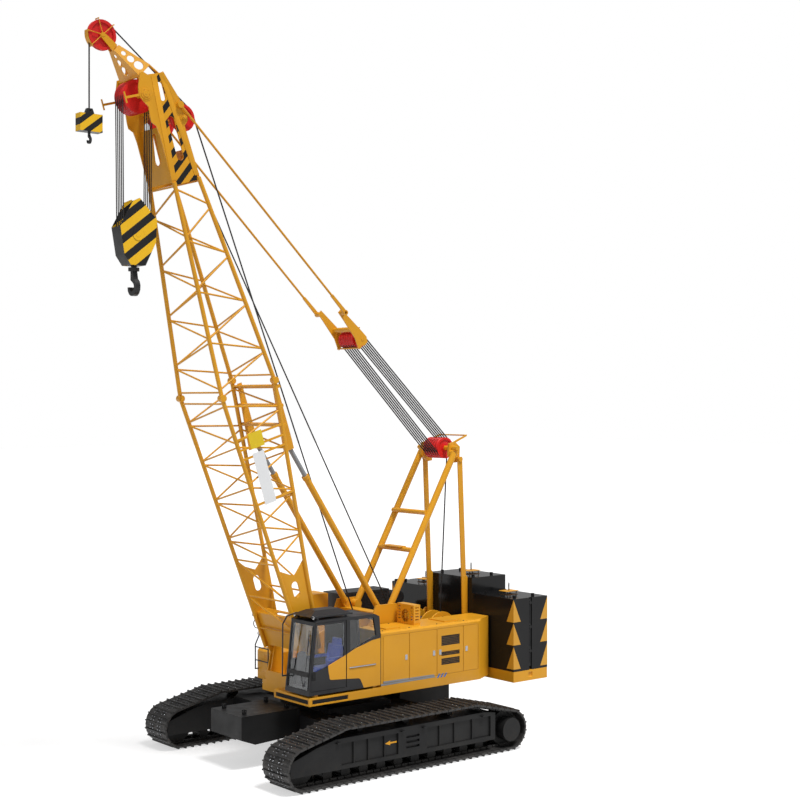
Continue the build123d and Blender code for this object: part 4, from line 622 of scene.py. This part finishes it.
# frame nodes as they come in their finish, then those that get rounded edges, with the width
plain = {
    "yellow": ("boom_base_chords", "boom_top_chords", "boom_base_braces", "boom_top_braces", "backstop_frame",
               "backstop_tube_left", "backstop_tube_right", "pendants", "tip_arm", "sign_plates"),
    # block_sheaves are painted black as painted shade: the sheaves sit in shade inside the hook block's
    # casing
    "black": ("silencer", "guard_rails", "block_sheaves"),
    "grey": ("backstop_rod_left", "backstop_rod_right"),
    "red": ("tip_sheave", "head_sheaves", "idler_sheaves", "gantry_sheaves", "spreader_sheaves"),
    "chassis": ("slew_ring", "idlers", "final_drives", "track_rollers"),
    "iron": ("engine_block",),
    "glass": ("cab_glass", "door_glass"),
}
for finish, names in plain.items():
    for node in names:
        paintNode(node, finishes[finish])
edged = {
    "yellow": (("deck_frame", 0.004), ("platforms", 0.006), ("right_house", 0.012), ("engine_house", 0.005),
               ("house_door_1", 0.004), ("house_door_2", 0.004), ("house_door_3", 0.002),
               ("house_door_4", 0.004), ("fan_guard", 0.002), ("gantry", 0.003), ("weight_tray", 0.010),
               ("boom_foot", 0.003), ("spreader", 0.003), ("boom_head", 0.003),
               ("drum_main", 0.004), ("drum_aux", 0.004), ("drum_boom", 0.004)),
    "black": (("oil_cooler", 0.006), ("cab_shell", 0.008), ("cab_door", 0.005), ("aux_hook", 0.004),
              ("main_hook", 0.010)),
    "gloss": (("counterweights", 0.016),),
    "chassis": (("carbody", 0.008), ("carbody_weights", 0.012), ("track_frame_left", 0.006),
                ("track_frame_right", 0.006)),
    "cloth": (("cab_inside", 0.015),),
    "hookBars": (("hook_block", 0.006),),
    "auxBars": (("aux_block", 0.012),),
}
dressed = {}
for finish, rows in edged.items():
    for node, width in rows:
        dressed[node] = roundNode(node, finishes[finish], width)
print("frame dressed")


# the boom's own directions: along it, and ahead of it
boomAngle = math.radians(73.2)
along = Vector((math.cos(boomAngle), 0, math.sin(boomAngle)))
ahead = Vector((math.sin(boomAngle), 0, -math.cos(boomAngle)))
footPin = Vector((1.158, 0, 2.310))


def boomSpot(s, n):
    return footPin + along * s + ahead * n


def boomPlace(spot):
    # how far along the boom and ahead of its axis a spot lies
    away = spot - footPin
    return away.dot(along), away.dot(ahead)


# markings painted on frame pieces: bars between the flanges of the boom head
headBar = along * 0.811 + ahead * 0.586
finishes["headBars"] = stripeFinish("headBars", colours["yellow"], colours["headBlack"], headBar, pitch=0.245,
                                    share=0.5, offset=0.1)
headWeb = {"low": 0.519, "high": 0.5215, "top": 13.50, "front": ((13.54, 0.080), (11.30, 0.245)),
           "rear": ((13.56, 0.015), (11.30, -0.240))}


def rimAt(rim, s):
    # where a slanting rim lies at a length along the boom
    (s0, n0), (s1, n1) = rim
    return n0 + (n1 - n0) * (s - s0) / (s1 - s0)


def cutAlong(piece, start, end):
    # cuts the mesh along a line drawn on the boom's side
    line = boomSpot(*end) - boomSpot(*start)
    editAll(piece)
    bpy.ops.mesh.bisect(plane_co=boomSpot(*start), plane_no=(line.z, 0, -line.x))
    leaveEdit()


def betweenRims(mid, normal):
    s, n = boomPlace(mid)
    return (headWeb["low"] < abs(mid.y) < headWeb["high"] and abs(normal.y) > 0.9 and s < headWeb["top"]
            and rimAt(headWeb["rear"], s) < n < rimAt(headWeb["front"], s))


for start, end in (headWeb["front"], headWeb["rear"], ((headWeb["top"], -1), (headWeb["top"], 1))):
    cutAlong(dressed["boom_head"], start, end)
recolour(dressed["boom_head"], finishes["headBars"], betweenRims)

# the two blank boards: finish, lower and upper end, rear and front edge
boards = (("signYellow", 5.20, 5.56, -0.04, 0.33), ("white", 3.90, 5.10, 0.02, 0.33))
for finish, low, high, rear, front in boards:
    def onBoard(mid, normal):
        s, n = boomPlace(mid)
        return low <= s <= high and rear - 0.002 <= n <= front + 0.002 and abs(normal.y) > 0.5
    recolour(nodes["sign_plates"], finishes[finish], onBoard)

# console and levers beside the seat, the small block's casing, door latches, the side grille
markFacts = {"consoleX": 1.49, "consoleY": 1.075, "seatFoot": 2.115, "auxTop": 14.322, "auxFoot": 13.958,
             "latchY": 1.7905, "latches": (2.23, 2.37), "grilleY": 1.7895, "grilleX": (-2.43, -1.77),
             "grilleRows": ((1.975, 2.150), (2.190, 2.310), (2.430, 2.690))}


def onConsole(mid, normal):
    return mid.x > markFacts["consoleX"] or mid.y < markFacts["consoleY"] or mid.z < markFacts["seatFoot"]


def onCasing(mid, normal):
    return mid.z > markFacts["auxTop"] or mid.z < markFacts["auxFoot"] or abs(normal.z) > 0.7


def onLatch(mid, normal):
    low, high = markFacts["latches"]
    return mid.y > markFacts["latchY"] and low < mid.z < high


def onGrille(mid, normal):
    rear, front = markFacts["grilleX"]
    return (mid.y < markFacts["grilleY"] and rear < mid.x < front and normal.y > 0.5
            and any(low < mid.z < high for low, high in markFacts["grilleRows"]))


recolour(dressed["cab_inside"], finishes["console"], onConsole)
recolour(dressed["aux_block"], finishes["black"], onCasing)
for number in (1, 2, 3, 4):
    recolour(dressed["house_door_%d" % number], finishes["chrome"], onLatch)
recolour(dressed["house_door_3"], finishes["dark"], onGrille)
print("markings painted")


# tracks: one shoe modelled, then laid round the loop
trackFacts = {"tumblerX": 2.980, "tumblerOut": 0.500, "topZ": 1.270, "topX": 1.900, "shoes": 76,
              "middle": 2.525, "half": 0.475, "long": 0.46, "plate": 0.045, "grouser": 0.038, "linkY": 0.17,
              "cuts": (-0.33, -0.2, -0.06, 0.06, 0.2, 0.33), "ribCut": 0.10, "ribTip": (0.6, 0.985, 1),
              "lugs": (0.07, 0.19), "lugOut": 0.08, "link": (-0.55, 0.3, 0.03, 0.055),
              "boltX": (-0.26, 0.26), "boltY": (-0.23, -0.11, 0.11, 0.23), "bolt": (0.018, 0.014)}


def trackPath(facts):
    # spots round the loop, seen from the left and starting under the front tumbler
    spots = []
    out = facts["tumblerOut"]
    lean = math.atan2(facts["topZ"] - 2 * out, facts["tumblerX"] - facts["topX"])
    for x, start in ((facts["tumblerX"], -math.pi / 2), (-facts["tumblerX"], math.pi / 2 + lean)):
        for i in range(25):
            a = start + (math.pi - lean) * i / 24
            spots.append(Vector((x + out * math.cos(a), 0, out + out * math.sin(a))))
        if x > 0:
            spots.append(Vector((facts["topX"], 0, facts["topZ"])))
            spots.append(Vector((-facts["topX"], 0, facts["topZ"])))
    return spots


def pathSpot(spots, distance):
    # the spot at a distance along the loop
    for i in range(len(spots)):
        start, end = spots[i], spots[(i + 1) % len(spots)]
        step = (end - start).length
        if distance <= step:
            return start + (end - start) * (distance / step)
        distance -= step
    return spots[0]


def modelShoe(facts, pitch):
    # lies flat with its tread up: x along the track, y across, z outward, grouser tip at 0
    top = -facts["grouser"]
    low = top - facts["plate"]
    long, half = pitch * facts["long"], facts["half"]
    shoe = addBlock("shoe", (-long, -half, low), (long, half, top), 0)
    editAll(shoe)
    for cut in facts["cuts"]:
        bpy.ops.mesh.select_all(action="SELECT")
        bpy.ops.mesh.bisect(plane_co=(0, cut, 0), plane_no=(0, 1, 0))
    for cut in (-facts["ribCut"], facts["ribCut"]):
        bpy.ops.mesh.select_all(action="SELECT")
        bpy.ops.mesh.bisect(plane_co=(cut * pitch, 0, 0), plane_no=(1, 0, 0))
    leaveEdit()
    # the grouser rises from the middle strip
    pickFaces(shoe, lambda mid, normal: normal.z > 0.9 and abs(mid.x) < pitch * facts["ribCut"] * 0.9)
    bpy.ops.mesh.extrude_region_move(TRANSFORM_OT_translate={"value": (0, 0, facts["grouser"])})
    bpy.ops.transform.resize(value=facts["ribTip"], center_override=(0, 0, 0))
    leaveEdit()
    # lugs reach towards the next shoe, over the links
    inner, outer = facts["lugs"]
    pickFaces(shoe, lambda mid, normal: abs(normal.x) > 0.9 and inner < abs(mid.y) < outer and mid.z < top)
    bpy.ops.mesh.extrude_region_shrink_fatten(TRANSFORM_OT_shrink_fatten={"value": -pitch * facts["lugOut"]})
    leaveEdit()
    rear, front, wide, deep = facts["link"]
    link = addBlock("link", (pitch * rear, facts["linkY"] - wide, low - deep),
                    (pitch * front, facts["linkY"] + wide, low + 0.004), 0.006)
    other = again(link, "linkTwin", (0, -2 * facts["linkY"], 0))
    return joinAll([shoe, link, other], "shoe")


def modelShoeBolts(facts, pitch):
    # plain hexagon heads on one shoe, over its links
    top = -facts["grouser"]
    radius, rise = facts["bolt"]
    heads = []
    for x in facts["boltX"]:
        for y in facts["boltY"]:
            foot = (x * pitch, y, top - 0.003)
            heads.append(addRound("head", foot, (x * pitch, y, top + rise), radius, 6, 0.002))
    return joinAll(heads, "shoeBolts")


def layTrack(name, side, facts, model):
    # one model laid on every shoe of the loop
    spots = trackPath(facts)
    total = sum((spots[(i + 1) % len(spots)] - spots[i]).length for i in range(len(spots)))
    pitch = total / facts["shoes"]
    one = model(facts, pitch)
    laid = []
    for i in range(facts["shoes"]):
        here = pathSpot(spots, (i + 0.5) * pitch) + Vector((0, side * facts["middle"], 0))
        behind = pathSpot(spots, (i + 0.15) * pitch)
        travel = (pathSpot(spots, ((i + 0.85) * pitch) % total) - behind).normalized()
        out = Vector((travel.z, 0, -travel.x))
        turn = Matrix((travel, Vector((0, -1, 0)), out)).transposed().to_4x4()
        laid.append(again(one, "laid", here, turn))
    bpy.data.objects.remove(one)
    return joinAll(laid, name)


for tag, side in (("Left", 1), ("Right", -1)):
    track = layTrack("track" + tag, side, trackFacts, modelShoe)
    editAll(track)
    bpy.ops.mesh.normals_make_consistent(inside=False)
    leaveEdit()
    finishPiece(track, finishes["steel"], "undercarriage", ("track_" + tag.lower(),))
    bolts = layTrack("trackBolts" + tag, side, trackFacts, modelShoeBolts)
    finishPiece(bolts, finishes["chrome"], "undercarriage")
print("tracks laid")


# ropes: the axles and eyes they run between, then their own sizes
headPin = boomSpot(13.2, 0.45)
tipPin = boomSpot(14.6, 0.83)
idlerPin = boomSpot(12.56, -0.33)
pendantEye = boomSpot(12.84, -0.30)
blockPin = Vector((headPin.x, 0, 11.85))
hookEye = Vector((tipPin.x + 0.29, 0, 14.40))
gantryPin = Vector((-3.26, 0, 7.085))
drums = {"main": Vector((-1.75, 0, 2.46)), "aux": Vector((-0.62, 0, 2.42)), "boom": Vector((-2.90, 0, 2.56))}
ropeFacts = {"radius": 0.017, "fall": 0.0125, "sides": 8}
fallFacts = {"count": 5, "pitch": 0.080, "head": 0.352, "block": 0.327, "narrow": 0.94, "rise": 0.02}
luffFacts = {"count": 6, "pitch": 0.095, "gantry": 0.245, "spreader": 0.185, "away": 3.83}
hoistFacts = {"drum": 0.24, "idler": 0.29, "tip": 0.31, "head": 0.352, "idlerY": 0.44, "drumY": 0.05,
              "headY": 0.16}
turnFacts = {"barrel": 0.244, "rope": 0.0135, "half": 0.52, "pitch": 0.0275}
leadFacts = {"fromPin": (-0.25, 0.05, -0.03), "foot": (-3.28, 0.05, 2.85)}


def tautRope(name, start, end, radius=ropeFacts["radius"]):
    # rings at the two ends only, so it stays straight when its ends move apart
    return addRound(name, start, end, radius, ropeFacts["sides"], 0)


def reeveFalls(facts):
    # both parts of each fall between the head and the hook block
    falls = []
    for i in range(facts["count"]):
        y = (i - (facts["count"] - 1) / 2) * facts["pitch"]
        for sign in (-1, 1):
            top = headPin + Vector((sign * facts["head"], y, 0))
            low = blockPin + Vector((sign * facts["block"], y * facts["narrow"], facts["rise"]))
            falls.append(tautRope("fall", top, low, ropeFacts["fall"]))
    ropes = finishPiece(joinAll(falls, "mainFalls"), finishes["rope"])
    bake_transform(ropes)


def reeveAux():
    top = Vector((hookEye.x, 0, tipPin.z))
    rope = finishPiece(tautRope("auxFall", top, hookEye), finishes["rope"])
    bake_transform(rope)


def reeveLuffing(facts):
    # upper and lower parts between the sheaves of the gantry and of the spreader
    line = (pendantEye - gantryPin).normalized()
    across = Vector((-line.z, 0, line.x))
    spreaderPin = gantryPin + line * facts["away"]
    parts = []
    for i in range(facts["count"]):
        middle = Vector((0, (i - (facts["count"] - 1) / 2) * facts["pitch"], 0))
        for sign in (-1, 1):
            parts.append(tautRope("part", gantryPin + across * sign * facts["gantry"] + middle,
                                  spreaderPin + across * sign * facts["spreader"] + middle))
    ropes = finishPiece(joinAll(parts, "luffingRopes"), finishes["rope"])
    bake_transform(ropes)


def drumToIdler(name, drum, side, facts):
    # from a winch to the idler on the other side of the boom
    idler = idlerPin + Vector((0, -side * facts["idlerY"], 0))
    aim = idler - drum
    rear = Vector((-aim.z, 0, aim.x)).normalized()
    start = drum + rear * facts["drum"] + Vector((0, side * facts["drumY"], 0))
    end = idler + rear * facts["idler"]
    rope = finishPiece(tautRope(name, start, end), finishes["rope"])
    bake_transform(rope)


def overSheaves(name, start, startRadius, end, endRadius):
    # a rope that lies on the rear of two sheaves, tangent to both
    line = (end - start).normalized()
    rear = Vector((line.z, 0, -line.x)).normalized()
    if rear.dot(ahead) > 0:
        rear = -rear
    rope = tautRope(name, start + rear * startRadius, end + rear * endRadius)
    finishPiece(rope, finishes["rope"], "boom")


def windDrum(tag, facts):
    # rope turns side by side on a drum's barrel
    turn = addRing("turn", drums[tag], facts["barrel"], facts["rope"], (40, 6))
    count = int(2 * facts["half"] / facts["pitch"])
    turns = [again(turn, "turn", (0, (i - count / 2) * facts["pitch"], 0)) for i in range(count + 1)]
    bpy.data.objects.remove(turn)
    finishPiece(joinAll(turns, tag + "DrumTurns"), finishes["rope"], bodyOf["drum_" + tag])


reeveFalls(fallFacts)
reeveAux()
reeveLuffing(luffFacts)
drumToIdler("mainHoistRope", drums["main"], 1, hoistFacts)
drumToIdler("auxHoistRope", drums["aux"], -1, hoistFacts)
overSheaves("auxOverHead", idlerPin + Vector((0, hoistFacts["idlerY"], 0)), hoistFacts["idler"], tipPin,
            hoistFacts["tip"])
overSheaves("mainOverHead", idlerPin - Vector((0, hoistFacts["idlerY"], 0)), hoistFacts["idler"],
            headPin - Vector((0, hoistFacts["headY"], 0)), hoistFacts["head"])
gantryLead = tautRope("gantryLead", gantryPin + Vector(leadFacts["fromPin"]), leadFacts["foot"])
finishPiece(gantryLead, finishes["rope"], "upperworks")
for tag in drums:
    windDrum(tag, turnFacts)
print("ropes reeved")


# counterweight: yellow triangles folded round its corners
weightFacts = {"front": -3.65, "rear": -4.80, "half": 2.35, "wide": 0.24, "thick": 0.003,
               "rows": ((3.425, 2.885), (2.856, 2.326), (2.285, 1.74))}


def makeTriangles(facts):
    pieces = []
    wide = facts["wide"]
    for high, low in facts["rows"]:
        for side in (1, -1):
            y = side * facts["half"]
            for x, inward in ((facts["front"], -1), (facts["rear"], 1)):
                onSide = [(x, y, low), (x + inward * wide, y, low), (x, y, high)]
                onEnd = [(x, y, low), (x, y - side * wide, low), (x, y, high)]
                pieces.append(addSheet("triangle", onSide, (0, side, 0), facts["thick"]))
                pieces.append(addSheet("triangle", onEnd, (-inward, 0, 0), facts["thick"]))
    finishPiece(joinAll(pieces, "warningTriangles"), finishes["triangle"], "upperworks")


makeTriangles(weightFacts)

# track frames: a yellow arrow pointing forward in the panel ahead of the middle
arrowFacts = {"tail": 0.435, "neck": 0.62, "tip": 0.775, "middle": 0.705, "thin": 0.018, "wide": 0.050,
              "face": 2.879, "thick": 0.003}


def makeArrow(side, facts):
    tail, neck, thin, wide = facts["tail"], facts["neck"], facts["thin"], facts["wide"]
    outline = ((tail, -thin), (neck, -thin), (neck, -wide), (facts["tip"], 0), (neck, wide), (neck, thin),
               (tail, thin))
    spots = [(x, side * facts["face"], facts["middle"] + rise) for x, rise in outline]
    return addSheet("arrow", spots, (0, side, 0), facts["thick"])


arrows = joinAll([makeArrow(side, arrowFacts) for side in (1, -1)], "frameArrows")
finishPiece(arrows, finishes["yellow"], "undercarriage")

# a double rod with rings in the groove down each side of the stacks
tieFacts = {"y": 2.328, "rods": (-4.238, -4.212), "low": 1.78, "high": 3.43, "rod": 0.009,
            "ringX": -4.225, "rings": (1.80, 2.21, 2.775, 3.36), "ring": 0.030, "wire": 0.008}


def makeTieRods(facts):
    pieces = []
    for y in (facts["y"], -facts["y"]):
        for x in facts["rods"]:
            pieces.append(addRound("rod", (x, y, facts["low"]), (x, y, facts["high"]), facts["rod"], 8, 0))
        for z in facts["rings"]:
            pieces.append(addRing("ring", (facts["ringX"], y, z), facts["ring"], facts["wire"], (20, 8)))
    finishPiece(joinAll(pieces, "weightTieRods"), finishes["black"], "upperworks")


makeTieRods(tieFacts)

# lifting frames: a small yellow plate on four rods over a brown base, and a short chain on it
liftFacts = {"spots": ((-4.20, 1.60, 3.45), (-4.20, 0.20, 3.83), (-4.20, -1.60, 3.45)),
             "base": (0.18, 0.14, 0, 0.010), "plate": (0.205, 0.15, 0.086, 0.098),
             "legs": (0.15, 0.11, 0.008, 0.090), "leg": 0.011,
             "links": 6, "firstLink": 0.118, "linkRise": 0.030, "link": 0.021, "wire": 0.006}


def liftingFrame(spot, facts):
    x, y, z = spot
    flats = []
    for name, finish in (("base", "brown"), ("plate", "yellow")):
        long, wide, low, high = facts[name]
        flat = addBlock(name, (x - long, y - wide, z + low), (x + long, y + wide, z + high), 0.002)
        flats.append(finishPiece(flat, finishes[finish]))
    long, wide, low, high = facts["legs"]
    rods = []
    for dx in (-long, long):
        for dy in (-wide, wide):
            foot = Vector((x + dx, y + dy, z))
            up = Vector((0, 0, 1))
            rods.append(addRound("rod", foot + up * low, foot + up * high, facts["leg"], 8, 0))
    for i in range(facts["links"]):
        centre = (x, y, z + facts["firstLink"] + i * facts["linkRise"])
        rods.append(addRing("link", centre, facts["link"], facts["wire"], (16, 6), (i % 2) * math.pi / 2))
    for piece in rods:
        finishPiece(piece, finishes["black"])
    return joinAll(flats + rods, "liftingFrame")


frames = [liftingFrame(spot, liftFacts) for spot in liftFacts["spots"]]
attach(joinAll(frames, "liftingFrames"), "upperworks")
print("counterweight marked")


# house side: grey band along the foot of the panels, ending in three slanting blue bars
bandFacts = {"y": 1.790, "thick": 0.003, "gap": 0.008, "split": 1.760, "high": 1.813,
             "fall": 0.01125, "fallFrom": -0.03,
             "foot": ((0.012, 1.716), (-1.632, 1.724), (-1.600, 1.760), (0.012, 1.760)),
             "doors": ((1, -0.056, -0.828), (2, -0.840, -1.590)),
             "bars": (-1.675, -1.780, -1.885), "barLow": 1.698, "barHigh": 1.791, "barWide": 0.05,
             "barLean": 0.066}


def addMark(name, outline, facts, finish, body, edge=0.0):
    # a thin flat shape on the left side, from its x and z
    spots = [(x, facts["y"], z) for x, z in outline]
    finishPiece(addSheet(name, spots, (0, 1, 0), facts["thick"], edge), finishes[finish], body)


def makeBand(facts):
    addMark("footBand", facts["foot"], facts, "grey", "upperworks")
    low, high, split = facts["barLow"], facts["barHigh"], facts["split"]
    above = split + facts["gap"]
    for number, front, rear in facts["doors"]:
        tops = [facts["high"] + facts["fall"] * (x - facts["fallFrom"]) for x in (rear, front)]
        outline = ((front, above), (rear, above), (rear, tops[0]), (front, tops[1]))
        addMark("footBand%d" % number, outline, facts, "grey", bodyOf["house_door_%d" % number])
    # each bar leans back: a part on the sill, then a part on the door above it
    share = (split - low) / (high - low)
    for x in facts["bars"]:
        for z0, z1, t0, t1, body in ((low, split, 0, share, "upperworks"),
                                     (above, high, share + 0.08, 1, bodyOf["house_door_3"])):
            x0 = x - facts["barLean"] * t0
            x1 = x - facts["barLean"] * t1
            wide = facts["barWide"]
            addMark("blueBar", ((x0, z0), (x0 - wide, z0), (x1 - wide, z1), (x1, z1)), facts, "blue", body)


makeBand(bandFacts)
print("house marked")


# cab: sweep of yellow over its side and door, its upper edge falling to a tip on the door
cabFacts = {"front": 2.060, "low": 1.740, "lean": 0.1091}
sweepFacts = {
    "y": 1.790, "thick": 0.003, "edge": 0.001,
    "cab": ((0.031, 2.829), (0.268, 2.799), (0.517, 2.728), (0.764, 2.661), (0.996, 2.55926), (0.996, 2.004),
            (0.654, 1.976), (0.610, 1.944), (0.586, 1.898), (0.512, 1.744), (0.031, 1.744)),
    "door": ((1.022, 2.54885), (1.277, 2.455), (1.490, 2.37479), (1.516, 2.365), (1.521, 2.330),
             (1.511, 2.246), (1.475, 2.060), (1.450, 2.036), (1.022, 2.006)),
}
sillFacts = {"y": 1.790, "thick": 0.0012,
             "door": ((1.500, 2.370), (1.858, 2.262), (1.936, 2.285), (1.936, 1.990), (1.400, 1.990))}
doorBody = bodyOf["cab_door"]
addMark("cabSweep", sweepFacts["cab"], sweepFacts, "yellow", "upperworks", sweepFacts["edge"])
addMark("doorSweep", sweepFacts["door"], sweepFacts, "yellow", doorBody, sweepFacts["edge"])
addMark("doorSill", sillFacts["door"], sillFacts, "black", doorBody)

# bright strip along the side and latch on the door: two corners of each, y counted from the side
gripFacts = {"y": 1.790, "gripStrip": ((0.171, 0.003, 2.232), (0.927, 0.022, 2.262), 0.006),
             "plate": ((1.866, 0, 2.070), (1.978, 0.004, 2.256), 0.002),
             "pull": ((1.884, 0.003, 2.120), (1.962, 0.016, 2.205), 0.005)}


def makeGrip(name, facts):
    (x0, out0, z0), (x1, out1, z1), edge = facts[name]
    return addBlock(name, (x0, facts["y"] + out0, z0), (x1, facts["y"] + out1, z1), edge)


finishPiece(makeGrip("gripStrip", gripFacts), finishes["chrome"], "upperworks")
latch = joinAll([makeGrip("plate", gripFacts), makeGrip("pull", gripFacts)], "doorLatch")
finishPiece(latch, finishes["gloss"], doorBody)

# cab front: cross bar, two wipers and the seals down both sides
frontFacts = {"bar": (2.140, 2.240), "barOut": 0.035, "barEase": 0.01, "barFrom": 0.955, "barWide": 0.770,
              "wipers": ((2.235, 3.16, 1.645, 1.60), (2.150, 1.90, 1.50, 1.56)), "arm": 0.007,
              "blade": (0.30, 0.006, 0.010), "bladeAt": 0.62, "hub": (0.022, 0.02, 0.012), "stand": 0.030,
              "seals": (0.935, 1.735), "sealAt": (1.86, 2.6, 3.25), "seal": 0.008}


def cabFront(z):
    return cabFacts["front"] - (z - cabFacts["low"]) * cabFacts["lean"]


def makeWiper(foot, tip, y0, y1, facts):
    # arm from its hub up or down the pane, with the blade on it
    start = Vector((cabFront(foot) + facts["stand"], y0, foot))
    end = Vector((cabFront(tip) - 0.002, y1, tip))
    long, wide, thick = facts["blade"]
    arm = addRound("arm", start, end, facts["arm"], 8, 0)
    blade = addBlock("blade", (0, -wide, -thick), (long * abs(tip - foot), wide, thick), 0)
    turn = (end - start).to_track_quat("X", "Y").to_matrix().to_4x4()
    middle = start.lerp(end, facts["bladeAt"]) + Vector((-0.006, 0, 0))
    blade.data.transform(Matrix.Translation(middle) @ turn)
    radius, behind, before = facts["hub"]
    hub = addRound("hub", start - Vector((behind, 0, 0)), start + Vector((before, 0, 0)), radius, 12)
    return [arm, blade, hub]


def makeFrontFittings(facts):
    low, high = facts["bar"]
    y, out, ease = facts["barFrom"], facts["barOut"], facts["barEase"]
    outline = [(cabFront(low), y, low), (cabFront(low) + out, y, low + ease),
               (cabFront(high) + out, y, high - ease), (cabFront(high), y, high)]
    parts = [addSheet("frontBar", outline, (0, 1, 0), facts["barWide"], 0.004)]
    for wiper in facts["wipers"]:
        parts += makeWiper(*wiper, facts)
    for y in facts["seals"]:
        line = [(cabFront(z) + 0.004, y, z) for z in facts["sealAt"]]
        parts.append(addBent("seal", line, facts["seal"]))
    finishPiece(joinAll(parts, "cabFrontFittings"), finishes["rubber"], "upperworks")


makeFrontFittings(frontFacts)

# work lamps: place and facing of each, then the sizes they share
lampFacts = {"lamps": (((1.835, 0.975, 3.450), (1, 0, -0.15)), ((1.835, 1.700, 3.450), (1, 0, -0.15)),
                       ((1.105, -1.60, 2.620), (1, 0, -0.1))),
             "shell": (-0.045, 0.030, 0.045, 0.006), "lens": (0.028, 0.036, 0.038, 0.003),
             "stem": 0.010, "stemLong": 0.060}


def makeLamp(spot, facing, facts):
    centre = Vector(spot)
    facing = Vector(facing).normalized()
    parts = []
    for name, finish in (("shell", "black"), ("lens", "white")):
        rear, front, radius, rim = facts[name]
        part = addRound(name, centre + facing * rear, centre + facing * front, radius, 20, rim)
        parts.append(finishPiece(part, finishes[finish]))
    stem = addRound("stem", centre - Vector((0, 0, facts["stemLong"])), centre, facts["stem"], 8, 0)
    parts.append(finishPiece(stem, finishes["black"]))
    return joinAll(parts, "lamp")


lamps = [makeLamp(spot, facing, lampFacts) for spot, facing in lampFacts["lamps"]]
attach(joinAll(lamps, "workLamps"), "upperworks")

# mirror on its own bent bracket at the right front corner
mirrorFacts = {"y": -1.75, "tube": 0.011,
               "line": ((0.98, 2.560), (1.00, 2.70), (1.14, 2.749), (1.182, 2.858), (1.112, 2.968),
                        (1.150, 3.040)),
               "x": (1.135, 1.170), "z": (3.020, 3.230), "half": 0.075, "edge": 0.012}


def makeMirror(facts):
    bracket = addBent("bracket", [(x, facts["y"], z) for x, z in facts["line"]], facts["tube"])
    low, high = zip(facts["x"], (facts["y"] - facts["half"], facts["y"] + facts["half"]), facts["z"])
    glass = addBlock("mirror", low, high, facts["edge"])
    finishPiece(joinAll([bracket, glass], "sideMirror"), finishes["black"], "upperworks")


makeMirror(mirrorFacts)

# dark gratings with slats in the platform's side and front recesses
gratingFacts = {"plates": (((0.962, 1.7765, 1.550), (1.940, 1.7795, 1.635)),
                           ((2.0185, 0.470, 1.550), (2.0215, 1.722, 1.635))),
                "sideSlats": (40, 0.975, 0.0242), "sideBar": (0.964, 1.938), "sideY": (1.779, 1.787, 1.789),
                "frontSlats": (50, 0.482, 0.0247), "frontBar": (0.472, 1.720),
                "frontX": (2.021, 2.029, 2.031),
                "slat": 0.006, "slatZ": (1.552, 1.633), "bar": 0.003, "bars": (1.560, 1.592, 1.624)}


def makeGratings(facts):
    pieces = [addBlock("plate", low, high, 0) for low, high in facts["plates"]]
    low, high = facts["slatZ"]
    slat, bar = facts["slat"], facts["bar"]
    back, face, barFace = facts["sideY"]
    count, start, step = facts["sideSlats"]
    for i in range(count):
        x = start + i * step
        pieces.append(addBlock("slat", (x, back, low), (x + slat, face, high), 0))
    rear, front, barFront = facts["frontX"]
    count, start, step = facts["frontSlats"]
    for i in range(count):
        y = start + i * step
        pieces.append(addBlock("slat", (rear, y, low), (front, y + slat, high), 0))
    x0, x1 = facts["sideBar"]
    y0, y1 = facts["frontBar"]
    for z in facts["bars"]:
        pieces.append(addBlock("bar", (x0, back, z - bar), (x1, barFace, z + bar), 0))
        pieces.append(addBlock("bar", (rear, y0, z - bar), (barFront, y1, z + bar), 0))
    finishPiece(joinAll(pieces, "platformGratings"), finishes["dark"], "upperworks")


makeGratings(gratingFacts)
print("cab fitted")


# caps on the ends of two axles: name, axle, how far out, radius; then bolts of the roof panels
capFacts = {"caps": (("headCap", headPin, 0.528, 0.115), ("idlerCap", idlerPin, 0.552, 0.060)),
            "discs": (("flange", 0, 0.012, 1, 32, 0.003), ("cap", 0.010, 0.024, 0.62, 28, 0.004),
                      ("centre", 0.022, 0.030, 0.2, 12, 0.002)),
            "face": 0.012, "bolts": 6, "boltsAt": 0.8, "bolt": 0.009}
roofFacts = {"x": (-0.10, -0.90, -1.75, -2.60), "y": (1.70, 0.93), "z": 2.960, "bolt": 0.014}


def capPin(title, centre, side, radius, facts):
    # flange, raised middle and a ring of bolts
    out = Vector((0, side, 0))
    parts = []
    for name, start, end, share, sides, rim in facts["discs"]:
        parts.append(addRound(name, centre + out * start, centre + out * end, radius * share, sides, rim))
    spots = []
    for i in range(facts["bolts"]):
        a = 2 * math.pi * i / facts["bolts"]
        reach = radius * facts["boltsAt"]
        spots.append(centre + out * facts["face"] + Vector((reach * math.cos(a), 0, reach * math.sin(a))))
    parts.append(addBolts("bolts", spots, out, facts["bolt"]))
    finishPiece(joinAll(parts, title), finishes["yellow"], "boom")


for side, tag in ((1, "Left"), (-1, "Right")):
    for name, pin, reach, radius in capFacts["caps"]:
        capPin(name + tag, pin + Vector((0, side * reach, 0)), side, radius, capFacts)
roofSpots = [Vector((x, y, roofFacts["z"])) for x in roofFacts["x"] for y in roofFacts["y"]]
finishPiece(addBolts("roofBolts", roofSpots, (0, 0, 1), roofFacts["bolt"]), finishes["black"], "upperworks")
print("bolts laid")
